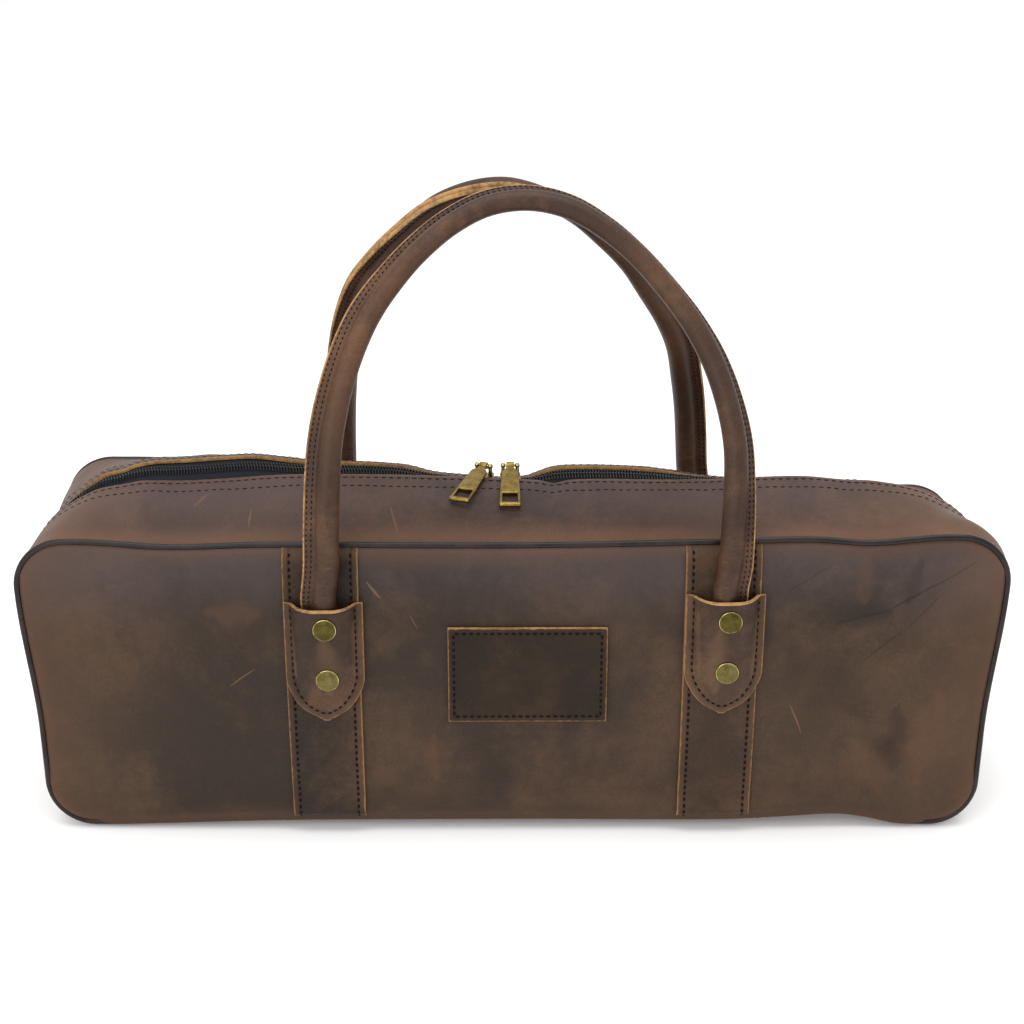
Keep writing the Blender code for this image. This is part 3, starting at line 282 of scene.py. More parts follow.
panelLook = {"dark": colour(45, 34, 26), "main": colour(64, 48, 36), "light": colour(90, 66, 45),
             "lightness": 0.45, "gloss": (0.46, 0.58), "grain": 800.0, "relief": 0.45,
             "scuffs": 0.16, "shine": 0.18, "wax": 0.02,
             "rim": (colour(96, 64, 42), 0.01, 0.3),
             # the first band is painted sheen along the top of the panel
             "bands": (("z", 0.1, paintedGreySheen, 0.112, 0.162, 0.34),
                       ("x", 0.1, rustTan, 0.205, 0.262, 0.3),
                       ("x", 0.12, rustTan, -0.19, -0.262, 0.26)),
             # the near-black marks are painted shade along the folds and dents at the right
             "marks": (((164, 122.5), (189.9, 129.7), 1.4, 3, paintedShadeDark, 0.45),
                       ((189.9, 129.7), (219.8, 146.1), 1.2, 3, paintedShadeDark, 0.45),
                       ((219.8, 146.1), (233.6, 155), 1, 3, paintedShadeDark, 0.35),
                       ((178.9, 100.2), (199.1, 118.8), 1, 4, paintedShadeDark, 0.4),
                       ((199.1, 118.8), (218.8, 138.9), 0.9, 4, paintedShadeDark, 0.35),
                       ((139, 140), (161.7, 155), 1, 5, paintedShadeDark, 0.25),
                       ((207, 157), (200, 133.4), 8, 10, paintedShadeDark, 0.3),
                       ((190, 129), (156, 121), 11, 12, paintedShadeDark, 0.25),
                       ((201, 75.7), (197.4, 36.9), 11, 14, paintedShadeDark, 0.32),
                       ((199, 56), (189, 48), 12, 14, paintedShadeDark, 0.2),
                       ((148, 108), (178, 70), 32, 30, paintedShadeDark, 0.28),
                       ((178, 158), (178, 134), 9, 12, rustTan, 0.15),
                       ((178, 52.5), (194, 24), 16, 18, rustTan, 0.2),
                       ((219, 81.1), (213, 30), 16, 18, rustTan, 0.18),
                       ((-145, 88), (-131.9, 98), 0.5, 2, paleScratch, 0.45),
                       ((143.6, 75.7), (150.5, 59.4), 0.6, 3, paleScratch, 0.45),
                       ((-51.7, 127.9), (-47.8, 120.2), 0.4, 2, paleScratch, 0.35),
                       ((-73.5, 146.1), (-67.2, 137.4), 1.2, 5, paleScratch, 0.4),
                       ((-42.2, 60.3), (-40.9, 33), 6, 10, rustTan, 0.25),
                       ((-153.4, 127.9), (-130.1, 129.8), 14, 14, rustTan, 0.2))}
gussetLook = {"dark": colour(48, 34, 28), "main": colour(70, 50, 41), "light": colour(102, 71, 50),
              "lightness": 0.4, "gloss": (0.42, 0.55), "grain": 850.0, "relief": 0.45,
              "scuffs": 0.16, "shine": 0.2, "wax": 0.03,
              # the first band is painted sheen over the gussets, fading out towards the front piping
              "bands": (("y", 0.05, paintedGreySheen, -0.05, -0.02, 0.2),
                        ("y", 0.03, rustTan, -0.044, -0.058, 0.45),
                        ("x", 0.1, rustTan, -0.19, -0.24, 0.45),
                        ("x", 0.1, rustTan, 0.15, 0.23, 0.5)),
              "plane": (1, 1, 0),
              "marks": (((-164, -31), (-158, -22), 1.4, 3, colour(122, 84, 60), 0.35),
                        ((-134, -48), (-133.5, -36), 0.6, 2, paleScratch, 0.3),
                        ((-62.5, -34), (-57.5, -52), 0.9, 3, colour(122, 84, 60), 0.35)),
              "edged": colour(140, 106, 62), "inset": 0.0035}
strapLook = {"dark": colour(38, 29, 24), "main": colour(60, 45, 34), "light": colour(98, 71, 50),
             "lightness": 0.5, "gloss": (0.44, 0.56), "grain": 850.0, "relief": 0.45,
             "scuffs": 0.16, "shine": 0.15, "wax": 0.02,
             "bands": (("z", 0.03, rustTan, 0.15, 0.164, 0.35),),
             # the pale marks lie on the tabs' bulges: pale vertical bands, part rubbed wear and part
             # painted highlight
             "marks": (((-94.5, 122), (-92.5, 88), 9, 6, colour(112, 84, 60), 0.32),
                       ((-112, 128), (-110, 96), 2.2, 4, colour(104, 78, 56), 0.35),
                       ((-80, 128), (-79, 90), 2.6, 4, colour(104, 78, 56), 0.35),
                       ((104, 126), (103, 90), 9, 6, colour(112, 84, 60), 0.32),
                       ((124, 132), (122, 96), 2.6, 4, colour(104, 78, 56), 0.35),
                       ((93, 134), (95, 98), 2, 4, colour(104, 78, 56), 0.3),
                       # painted shade low on the right straps
                       ((106, 70), (106, 18), 30, 10, paintedShadeDark, 0.26)),
             "edged": colour(150, 110, 66), "inset": 0.0036}
tabLook = dict(strapLook, dark=colour(46, 34, 27), main=colour(72, 53, 40), light=colour(110, 80, 56),
               bands=())
patchLook = dict(strapLook, dark=colour(36, 28, 22), main=colour(48, 37, 28), light=colour(68, 50, 36),
                 inset=0.003, shine=0.1, bands=(), marks=())
rawLook = {"tan": colour(172, 132, 82), "gold": colour(156, 118, 64), "dark": colour(104, 74, 42)}


def makeRawEdge(name, light, dark):
    made, tree, shader, place, _ = newMaterial(name)
    fibre = cloud(tree, place, 420.0, 6.0, 0.7)
    blotch = cloud(tree, place, 60.0, 3.0)
    tone = plus(tree, times(tree, fibre, 0.6), times(tree, blotch, 0.4))
    tree.links.new(tint(tree, ramp(tree, tone, 0.36, 0.6), dark, light), shader.inputs["Base Color"])
    feed(tree, shader, {"Roughness": 0.85})
    bump(tree, shader, fibre, 0.7, 0.0005)
    return made


def makeHandleHide(look):
    made, tree, shader, place, uv = newMaterial("handleHide")
    tone = useGroup(tree, hideTone, Vector=place, Dark=look["dark"], Main=look["main"], Light=look["light"],
                    Lightness=look["lightness"])
    shade = tone["Color"]
    lines = useGroup(tree, scuffs, Vector=place, Amount=0.35)["Mask"]
    shade = tint(tree, lines, shade, look["light"])
    z = put(tree, "SeparateXYZ", {0: place}).outputs[2]
    bent = ramp(tree, z, look["flex"][0], look["flex"][1], 1.0, 0.12)
    creases = cloud(tree, stretched(tree, uv, (1500.0, 130.0, 1.0)), 1.0, 3.0, 0.6, 0.6)
    for low, high, amount, key in ((0.56, 0.72, 0.5, "light"), (0.44, 0.3, 0.6, "dark")):
        mask = times(tree, ramp(tree, creases, low, high), times(tree, bent, amount))
        shade = tint(tree, mask, shade, look[key])
    tree.links.new(shade, shader.inputs["Base Color"])
    tree.links.new(ramp(tree, tone["Mottle"], 0.35, 0.65, 0.38, 0.52), shader.inputs["Roughness"])
    feed(tree, shader, {"Specular IOR Level": 0.2, "Coat Weight": 0.06, "Coat Roughness": 0.38})
    grain = useGroup(tree, hideGrain, Vector=place, Scale=850.0)["Height"]
    height = plus(tree, grain, times(tree, times(tree, creases, bent), 2.0))
    bump(tree, shader, height, 0.35, 0.0004)
    return made


def makePipingHide():
    made, tree, shader, place, uv = newMaterial("pipingHide")
    tone = cloud(tree, place, 60.0, 4.0, 0.6)
    shade = tint(tree, ramp(tree, tone, 0.4, 0.62), colour(20, 12, 12), colour(36, 24, 22))
    tree.links.new(shade, shader.inputs["Base Color"])
    wrinkles = cloud(tree, stretched(tree, uv, (900.0, 160.0, 1.0)), 1.0, 3.0, 0.6)
    tree.links.new(ramp(tree, tone, 0.3, 0.7, 0.24, 0.34), shader.inputs["Roughness"])
    feed(tree, shader, {"Specular IOR Level": 0.28})
    bump(tree, shader, wrinkles, 0.25, 0.0003)
    return made


def makeThread():
    made, tree, shader, place, _ = newMaterial("thread")
    twist = cloud(tree, place, 1400.0, 2.0)
    tree.links.new(tint(tree, twist, colour(18, 9, 8), colour(36, 21, 17)), shader.inputs["Base Color"])
    feed(tree, shader, {"Roughness": 0.8, "Specular IOR Level": 0.06})
    return made


def makeTapeWeave():
    made, tree, shader, _, uv = newMaterial("tapeWeave")
    threads = [put(tree, "TexWave", {"Vector": uv, "Scale": 420.0, "Distortion": 0.4},
                   bands_direction=direction).outputs["Fac"] for direction in "XY"]
    weave = times(tree, *threads)
    tree.links.new(tint(tree, weave, colour(16, 17, 22), colour(36, 38, 48)), shader.inputs["Base Color"])
    feed(tree, shader, {"Roughness": 0.8, "Specular IOR Level": 0.2})
    bump(tree, shader, weave, 0.5, 0.0002)
    return made


def makeCoilNylon():
    made, tree, shader, place, _ = newMaterial("coilNylon")
    dust = cloud(tree, place, 300.0, 3.0)
    shade = tint(tree, ramp(tree, dust, 0.4, 0.7), colour(6, 6, 7), colour(16, 16, 18))
    tree.links.new(shade, shader.inputs["Base Color"])
    tree.links.new(ramp(tree, dust, 0.3, 0.7, 0.24, 0.36), shader.inputs["Roughness"])
    feed(tree, shader, {"Specular IOR Level": 0.4})
    return made


def makeBrass(name, tones, patina):
    made, tree, shader, place, _ = newMaterial(name)
    stain = cloud(tree, place, 210.0, 5.0, 0.65)
    fine = cloud(tree, place, 1500.0, 3.0)
    deep, main, bright = [colour(*tone) for tone in tones]
    shade = tint(tree, ramp(tree, stain, 0.38, 0.62), deep, main)
    shade = tint(tree, ramp(tree, fine, 0.45, 0.7, 0.0, 0.35), shade, bright)
    tree.links.new(shade, shader.inputs["Base Color"])
    feed(tree, shader, {"Metallic": 1.0})
    tree.links.new(ramp(tree, stain, 0.35, 0.65, patina[0], patina[1]), shader.inputs["Roughness"])
    bump(tree, shader, fine, 0.12, 0.0002)
    return made


panelHide = makeHide("panelHide", panelLook)
gussetHide = makeHide("gussetHide", gussetLook)
strapHide = makeHide("strapHide", strapLook)
tabHide = makeHide("tabHide", tabLook)
patchHide = makeHide("patchHide", patchLook)
handleHide = makeHandleHide({"dark": colour(46, 31, 24), "main": colour(72, 49, 34),
                             "light": colour(112, 78, 52), "lightness": 0.45, "flex": (0.15, 0.2)})
pipingHide = makePipingHide()
rawTan = makeRawEdge("rawTan", rawLook["tan"], rawLook["dark"])
rawGold = makeRawEdge("rawGold", rawLook["gold"], rawLook["dark"])
thread = makeThread()
tapeWeave = makeTapeWeave()
coilNylon = makeCoilNylon()
# one cap brass in two copies: a darker one is painted shade for the upper rivets, a lighter one is painted
# light for the lower rivets
shadedCapBrass = makeBrass("shadedCapBrass", ((67, 60, 25), (85, 77, 37), (108, 99, 60)), (0.3, 0.42))
litCapBrass = makeBrass("litCapBrass", ((86, 78, 42), (108, 98, 58), (134, 123, 84)), (0.3, 0.42))
pullBrass = makeBrass("pullBrass", ((112, 92, 42), (146, 122, 62), (182, 160, 98)), (0.26, 0.42))
rimBrass = makeBrass("rimBrass", ((150, 136, 84), (190, 176, 124), (220, 208, 164)), (0.16, 0.28))
print("materials made")


bag = {"length": 507 * mm, "height": 168 * mm, "depth": 124 * mm, "topCorner": 28 * mm,
       "bottomCorner": 27 * mm, "leather": 2 * mm, "piping": 4.6 * mm, "floorGap": 0.6 * mm,
       "fit": 0.35 * mm, "belly": 6 * mm, "waist": 5 * mm, "rise": 17 * mm, "roll": 5 * mm,
       "baseEdge": 13 * mm, "zipStart": 62 * mm, "endRise": 30 * mm,
       "zipOpening": 16 * mm, "lowBulge": 2.4 * mm}
topDents = {
    front: ((-0.88, 0.0), (-0.69, -0.018), (-0.5, -0.01), (0.0, -0.012), (0.42, 0.0), (0.6, 0.008),
            (0.72, -0.004), (0.87, 0.014)),
    rear: ((-0.88, 0.0), (-0.6, -0.014), (-0.3, -0.06), (0.0, -0.078), (0.3, -0.076), (0.6, -0.086),
           (0.8, -0.1), (0.9, -0.1))}
bottomDents = {
    front: ((-0.88, 0.0), (-0.5, 0.018), (0.0, 0.024), (0.44, 0.022), (0.6, 0.036), (0.69, 0.042),
            (0.76, 0.028), (0.83, 0.004), (0.9, 0.0)),
    rear: ((-0.88, 0.0), (-0.45, 0.016), (0.2, 0.02), (0.6, 0.014), (0.88, 0.0))}
swells = {  # place, height, half width, half height, depth
    front: ((0.75, 0.02, 0.1, 0.42, -0.034), (0.89, 0.2, 0.1, 0.3, 0.02), (-0.8, 0.3, 0.22, 0.45, 0.014),
            (0.62, 0.55, 0.14, 0.4, -0.01), (-0.22, 0.16, 0.2, 0.3, 0.008),
            (0.22, 0.84, 0.3, 0.14, -0.008)),
    rear: ((0.86, 0.86, 0.2, 0.34, -0.045), (-0.75, 0.35, 0.22, 0.45, 0.014),
           (0.4, 0.25, 0.24, 0.34, 0.012), (-0.15, 0.6, 0.2, 0.4, -0.01))}
rises = {
    front: ((-1.0, 0.1), (-0.8, 0.05), (-0.74, -0.05), (-0.68, 0.02), (-0.636, 0.42), (-0.596, 0.635),
            (-0.558, 0.83), (-0.41, 0.95), (-0.32, 1.02), (-0.18, 1.02), (-0.1, 0.98), (-0.02, 0.92),
            (0.056, 0.83), (0.13, 0.85), (0.25, 0.77), (0.534, 0.77), (0.587, 0.54), (0.625, 0.28),
            (0.654, 0.0), (0.68, -0.24), (0.71, -0.33), (0.8, -0.05), (1.0, 0.1)),
    rear: ((-1.0, 0.1), (-0.8, 0.04), (-0.74, -0.14), (-0.69, -0.12), (-0.664, 0.17), (-0.6365, 0.55),
           (-0.605, 0.75), (-0.585, 0.95), (-0.545, 1.16), (-0.415, 1.32), (-0.326, 1.12), (-0.178, 0.99),
           (-0.112, 0.68), (-0.04, 0.54), (0.02, 0.56), (0.04, 0.72), (0.062, 0.88), (0.1, 0.94),
           (0.206, 0.82), (0.262, 0.62), (0.32, 0.4), (0.4, 0.31), (0.534, 0.32), (0.587, 0.12),
           (0.655, -0.36), (0.7, -0.5), (0.78, -0.15), (1.0, 0.1))}
rolls = {front: ((0.62, 0.0), (0.7, 0.7), (0.78, 0.6), (0.9, 0.0)),
         rear: ((-0.86, 0.0), (-0.72, 0.1), (-0.6, 0.0))}

cordRadius = bag["piping"] / 2
seamX = bag["length"] / 2 - cordRadius
seamTop = bag["height"] - cordRadius
seamBottom = cordRadius + bag["floorGap"]
seamY = bag["depth"] / 2 - cordRadius
topRadius = bag["topCorner"] - cordRadius
bottomRadius = bag["bottomCorner"] - cordRadius
seamInset = cordRadius + bag["fit"]
gussetY = seamY - seamInset
zipY = bag["zipOpening"] / 2
straightTop = seamX - topRadius
topArc = topRadius * math.pi / 2
zipDrop = seamTop - topRadius - bag["zipStart"]
zipRun = straightTop + topArc + zipDrop


def between(rows, place):
    # smooth curve through (place, value) rows
    places = [row[0] for row in rows]
    values = [row[1] for row in rows]
    if place <= places[0]:
        return values[0]
    if place >= places[-1]:
        return values[-1]
    slopes = [0.0] + [(values[k + 1] - values[k - 1]) / (places[k + 1] - places[k - 1])
                      for k in range(1, len(rows) - 1)] + [0.0]
    k = max(i for i in range(len(rows) - 1) if places[i] <= place)
    span = places[k + 1] - places[k]
    t = (place - places[k]) / span
    start = values[k] * (2 * t ** 3 - 3 * t ** 2 + 1) + values[k + 1] * (3 * t ** 2 - 2 * t ** 3)
    return start + span * (slopes[k] * (t ** 3 - 2 * t ** 2 + t) + slopes[k + 1] * (t ** 3 - t ** 2))


def ease(t):
    t = min(max(t, 0.0), 1.0)
    return t * t * (3 - 2 * t)


def mix(a, b, t):
    return a + (b - a) * t


def cornerDrop(x, radius, inset):
    past = max(0.0, abs(x) - (seamX - radius))
    return (radius - inset) - math.sqrt(max(0.0, (radius - inset) ** 2 - past ** 2))


def topEdge(side, x, inset=0.0):
    dent = between(topDents[side], x / seamX) * bag["height"]
    return seamTop - inset + dent - cornerDrop(x, topRadius, inset)


def bottomEdge(side, x, inset=0.0):
    lift = between(bottomDents[side], x / seamX) * bag["height"]
    return seamBottom + inset + lift + cornerDrop(x, bottomRadius, inset)


def drawnIn(x, z):
    pull = bag["waist"] * ease((seamTop - topRadius - z) / (bag["height"] / 2))
    return x - math.copysign(pull * abs(x / seamX) ** 3, x)


def panelFace(side, x, z):
    # distance of the panel's outer face from the middle plane
    along = x / seamX
    up = (z - seamBottom) / (seamTop - seamBottom)
    border = max(0.0, 1 - abs(along) ** 6) * max(0.0, 1 - abs(2 * up - 1) ** 3)
    out = bag["belly"]
    for place, height, halfWidth, halfHeight, depth in swells[side]:
        away = ((along - place) / halfWidth) ** 2 + ((up - height) / halfHeight) ** 2
        out += bag["depth"] * depth * math.exp(-away)
    low = (z - bottomEdge(side, x) - 7 * mm) / (6 * mm)
    tuck = max(0.0, 1 - abs(along)) ** 0.2 * bag["lowBulge"] * math.exp(-low * low)
    return seamY + bag["leather"] / 2 + out * border ** 0.8 + tuck


def seamPoint(side, x, top):
    z = topEdge(side, x) if top else bottomEdge(side, x)
    return Vector((drawnIn(x, z), 0.0, z))


def zipStation(place):
    # place along the half run: x, height on the straight ends, outward normal
    run, hand = abs(place) * zipRun, math.copysign(1.0, place)
    if run <= straightTop:
        return place, hand * run, None, (0.0, 1.0)
    if run <= straightTop + topArc:
        angle = (run - straightTop) / topRadius
        side, up = math.sin(angle), math.cos(angle)
        return place, hand * (straightTop + topRadius * side), None, (hand * side, up)
    return place, hand * seamX, seamTop - topRadius - (run - straightTop - topArc), (hand, 0.0)


def gussetPoint(station, y, offset):
    place, x, z, normal = station
    if z is None:
        points = [seamPoint(side, x, True) for side in (front, rear)]
    else:  # down the ends the dents of the top edge fade out
        fade = (z - bag["zipStart"]) / zipDrop
        points = [Vector((drawnIn(x, z), 0.0, z + fade * (topEdge(side, x) - seamTop + topRadius)))
                  for side in (front, rear)]
    point = points[0].lerp(points[1], ease((y - zipY) / (gussetY - zipY)))
    return Vector((point.x + normal[0] * offset, y, point.z + normal[1] * offset))


def gussetOffset(side, place, y):
    t = max(0.0, (gussetY - abs(y)) / (gussetY - zipY))
    rolled = min(t / 0.7, 1.0)
    roll = between(rolls[side], place) * bag["roll"] * 4 * rolled * (1 - rolled)
    return bag["leather"] / 2 + roll + between(rises[side], place) * bag["rise"] * (1 - (1 - t) ** 1.35)


def tapeOffset(place, y):
    tucked = max(0.0, abs(y) - zipY) / (tape["width"] - zipY)
    skin = gussetOffset(front if y < 0 else rear, place, y)
    return skin - bag["leather"] - bag["fit"] * mix(1, tape["tuck"], tucked)


def coilSeat(place):
    return mix(tapeOffset(place, zipY), tapeOffset(place, -zipY), tape["level"])


def clearSelection():
    bpy.ops.object.select_all(action="DESELECT")


def pick(piece):
    clearSelection()
    piece.select_set(True)
    bpy.context.view_layer.objects.active = piece


def settle():
    # the new primitive's place, turn and size go into its mesh
    bpy.ops.object.transform_apply(location=True, rotation=True, scale=True)
    return bpy.context.object


def turnFacesOut(piece):
    pick(piece)
    bpy.ops.object.mode_set(mode="EDIT")
    bpy.ops.mesh.select_all(action="SELECT")
    bpy.ops.mesh.normals_make_consistent(inside=False)
    bpy.ops.object.mode_set(mode="OBJECT")


def meshPiece(name, verts, faces, skins):
    mesh = bpy.data.meshes.new(name)
    mesh.from_pydata(verts, [], faces)
    piece = bpy.data.objects.new(name, mesh)
    bpy.context.scene.collection.objects.link(piece)
    for skin in skins:
        mesh.materials.append(skin)
    return piece


def copied(model, name, place):
    # a copy with its own mesh, moved in the mesh
    pick(model)
    bpy.ops.object.duplicate()
    made = bpy.context.object
    made.name = made.data.name = name
    made.data.transform(place)
    return made


def dress(piece, body, slotName, *nodes):
    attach(piece, body)
    if nodes:
        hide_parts(*nodes)
    return piece


def smooth(piece, angle=50):
    pick(piece)
    bpy.ops.object.shade_smooth_by_angle(angle=math.radians(angle))


def runsAlong(points):
    runs = [0.0]
    for a, b in zip(points, points[1:]):
        runs.append(runs[-1] + (b - a).length)
    return runs


def thicken(piece, thickness, rimSkin=0):
    wall = piece.modifiers.new("wall", "SOLIDIFY")
    wall.thickness = thickness
    wall.offset = -1.0
    wall.material_offset_rim = rimSkin
    bpy.ops.object.modifier_apply(modifier="wall")


def soften(piece, width, segments=3, angle=40):
    pick(piece)
    soft = piece.modifiers.new("soft", "BEVEL")
    soft.width = width
    soft.segments = segments
    soft.limit_method = "ANGLE"
    soft.angle_limit = math.radians(angle)
    bpy.ops.object.modifier_apply(modifier="soft")


def gridSheet(name, us, vs, place, outward, skins, borders="", thickness=None, rimRound=0.25 * mm):
    # a grid primitive laid on the surface place(u, v), then given the leather's thickness
    clearSelection()
    bpy.ops.mesh.primitive_grid_add(x_subdivisions=len(us) - 1, y_subdivisions=len(vs) - 1, size=2)
    piece = bpy.context.object
    piece.name = piece.data.name = name
    mesh = piece.data
    table = [[place(u, v) for v in vs] for u in us]
    spots = []
    for vert in mesh.vertices:
        i = round((vert.co.x + 1) / 2 * (len(us) - 1))
        j = round((vert.co.y + 1) / 2 * (len(vs) - 1))
        spots.append((i, j))
    runU, runV = runsAlong([column[len(vs) // 2] for column in table]), runsAlong(table[len(us) // 2])
    for vert, (i, j) in zip(mesh.vertices, spots):
        vert.co = table[i][j]
    layer = mesh.uv_layers.active or mesh.uv_layers.new()
    for loop in mesh.loops:
        i, j = spots[loop.vertex_index]
        layer.data[loop.index].uv = (runU[i], runV[j])
    if borders:
        edges = {"l": table[0], "r": table[-1],
                 "b": [row[0] for row in table], "t": [row[-1] for row in table]}
        lines = [edges[letter] for letter in borders]
        dots = [a.lerp(b, k / 4) for line in lines for a, b in zip(line, line[1:]) for k in range(5)]
        tree = kdtree.KDTree(len(dots))
        for k, dot in enumerate(dots):
            tree.insert(dot, k)
        tree.balance()
        away = mesh.attributes.new("edge", "FLOAT", "POINT")
        for k, (i, j) in enumerate(spots):
            away.data[k].value = tree.find(table[i][j])[2]
    i, j = len(us) // 2, len(vs) // 2
    middle = next(f for f in mesh.polygons if sorted(spots[k] for k in f.vertices)[0] == (i - 1, j - 1))
    if middle.normal.dot(Vector(outward)) < 0:
        mesh.flip_normals()
    for skin in skins:
        mesh.materials.append(skin)
    thicken(piece, thickness or bag["leather"], len(skins) - 1)
    if rimRound:
        soften(piece, rimRound, 2, 62)
    smooth(piece)
    return piece


def loft(name, rings, skins, skinOf=None, closed=False):
    # rings of points joined into a skin, with a UV map in metres along and around
    count = len(rings[0])
    verts = [tuple(point) for ring in rings for point in ring]
    last = len(rings) if closed else len(rings) - 1
    faces, kinds, uvs = [], [], []
    middle = rings[len(rings) // 2]
    around = runsAlong(middle + middle[:1])
    run = runsAlong([ring[0] for ring in rings + rings[:1]])
    for k in range(last):
        for n in range(count):
            a, b = k * count, ((k + 1) % len(rings)) * count
            m = (n + 1) % count
            faces.append((a + n, a + m, b + m, b + n))
            uvs.append(((run[k], around[n]), (run[k], around[n + 1]),
                        (run[k + 1], around[n + 1]), (run[k + 1], around[n])))
            kinds.append(skinOf(k, n) if skinOf else 0)
    if not closed:
        faces += [tuple(reversed(range(count))), tuple(range((len(rings) - 1) * count, len(rings) * count))]
        uvs += [((0.0, 0.0),) * count] * 2
        kinds += [0, 0]
    piece = meshPiece(name, verts, faces, skins)
    mesh = piece.data
    layer = mesh.uv_layers.new(name="UVMap")
    flat = [spot for face in uvs for spot in face]
    for k, spot in enumerate(flat):
        layer.data[k].uv = spot
    mesh.polygons.foreach_set("material_index", kinds)
    turnFacesOut(piece)
    smooth(piece)
    return piece


# one stitch, lying along X with its ends pulled into the leather
clearSelection()
bpy.ops.mesh.primitive_uv_sphere_add(segments=6, ring_count=6, radius=0.5)
stitchModel = bpy.context.object
stitchModel.data.transform(Matrix.Rotation(math.pi / 2, 4, "Y"))
stitchVerts = [v.co.copy() for v in stitchModel.data.vertices]
stitchFaces = [tuple(p.vertices) for p in stitchModel.data.polygons]
bpy.data.objects.remove(stitchModel, do_unlink=True)


def stitchesAlong(store, points, normals, look):
    # even stitches along a line of points that lie on a surface
    run = runsAlong(points)
    count = max(1, round(run[-1] / look["pitch"]))
    k = 0
    for n in range(count):
        middle = run[-1] * (n + 0.5) / count
        while k < len(run) - 2 and run[k + 1] < middle:
            k += 1
        t = (middle - run[k]) / max(run[k + 1] - run[k], 1e-9)
        along = (points[k + 1] - points[k]).normalized()
        normal = normals[k].lerp(normals[k + 1], t).normalized()
        across = normal.cross(along).normalized()
        along = (along + across * chance.uniform(-0.07, 0.07)).normalized()
        across = normal.cross(along).normalized()
        centre = points[k].lerp(points[k + 1], t) + normal * look["lift"]
        long = look["pitch"] * look["share"] * chance.uniform(0.92, 1.06)
        store.append((centre, along * long, across * look["width"], normal * look["height"]))


def sewStitches(name, store):
    verts, faces = [], []
    for centre, along, across, normal in store:
        base = len(verts)
        for v in stitchVerts:
            dip = (2 * v.x) ** 4 * 0.45
            verts.append(tuple(centre + along * v.x + across * v.y + normal * (v.z - dip)))
        faces += [tuple(base + k for k in face) for face in stitchFaces]
    piece = meshPiece(name, verts, faces, (thread,))
    smooth(piece, 80)
    return piece


def surfaceLine(place, path, steps, outward):
    # points and normals of a line (u, v) = path(t) on the surface place(u, v)
    points, normals = [], []
    step = 0.0004
    for k in range(steps + 1):
        u, v = path(k / steps)
        point = place(u, v)
        across = place(u + step, v) - place(u - step, v)
        upward = place(u, v + step) - place(u, v - step)
        normal = across.cross(upward).normalized()
        if normal.dot(Vector(outward)) < 0:
            normal = -normal
        points.append(point)
        normals.append(normal)
    return points, normals


def evenly(count):
    return [k / count for k in range(count + 1)]


def crowded(count):
    # shares that lie closer together towards both ends
    turns = [math.cos(math.pi * k / count) for k in range(count + 1)]
    return [0.5 - math.copysign(abs(turn) ** 0.8, turn) / 2 for turn in turns]


panel = {"columns": 150, "cornerColumns": 14, "rows": 76, "inset": 0.5 * mm, "sink": 1.2 * mm,
         "roll": 3.2 * mm, "lap": 1.1 * mm}


def panelColumns():
    reach = topRadius - panel["inset"]
    arc = [straightTop + reach * math.sin(math.pi / 2 * k / panel["cornerColumns"])
           for k in range(1, panel["cornerColumns"] + 1)]
    middle = [mix(-straightTop, straightTop, k / panel["columns"]) for k in range(panel["columns"] + 1)]
    return [-x for x in reversed(arc)] + middle + arc


def panelPlace(side):
    def place(x, v):
        low, high = bottomEdge(side, x, panel["inset"]), topEdge(side, x, panel["inset"])
        z = mix(low, high, v)
        edge = min(high - z, seamX - panel["inset"] - abs(x))
        lap = ease((straightTop - abs(x)) / (12 * mm)) * (1 - ease((z - low) / panel["roll"]))
        z -= panel["lap"] * lap
        sunk = panel["sink"] * (1 - ease(min(edge, z - low + 9 * lap) / panel["roll"])) - 0.7 * mm * lap
        return Vector((drawnIn(x, z), side * (panelFace(side, x, z) - sunk), z))
    return place


def makePanel(side):
    piece = gridSheet(sideNames[side] + "Panel", panelColumns(), crowded(panel["rows"]), panelPlace(side),
                      (0, side, 0), (panelHide,), borders="lrtb", rimRound=0)
    return dress(piece, "bag", "brown_leather", sideNames[side] + "_panel")


for side in (front, rear):
    makePanel(side)
print("panels made")


gusset = {"steps": 300, "rows": 26, "stitchRows": (3.5 * mm, 11 * mm), "sewn": 0.995, "lineSteps": 500,
          "under": 1.3 * mm, "ripple": 0.9 * mm, "pucker": 1.6 * mm,
          "puckerX": 22 * mm, "puckerWidth": 5 * mm}
gussetStitch = {"pitch": 4.0 * mm, "share": 0.72, "width": 0.9 * mm, "height": 0.5 * mm, "lift": 0.02 * mm}
tape = {"width": 14 * mm, "thickness": 0.9 * mm, "tuck": 4.5, "level": 0.35, "coilWidth": 8 * mm,
        "coilThickness": 2.3 * mm, "pitch": 1.55 * mm, "slant": 1.2 * mm, "tooth": 0.4 * mm}


def gussetPlace(side):
    def place(u, v):
        y = side * mix(gussetY, zipY, v)
        if v < 0:  # in under the cord
            y = side * (gussetY + gusset["under"])
        station = zipStation(u)
        offset = gussetOffset(side, u, y)
        if side == front:  # the pucker beside the right pull
            away = (u * zipRun - gusset["puckerX"]) / gusset["puckerWidth"]
            offset -= gusset["pucker"] * math.exp(-away ** 2) * v ** 2
        ripple = noise.noise(Vector((u * 26, v * 2.2, 3.7 * side))) * gusset["ripple"]
        ripple *= math.sin(math.pi * max(v, 0.0))
        return gussetPoint(station, y, offset + ripple)
    return place


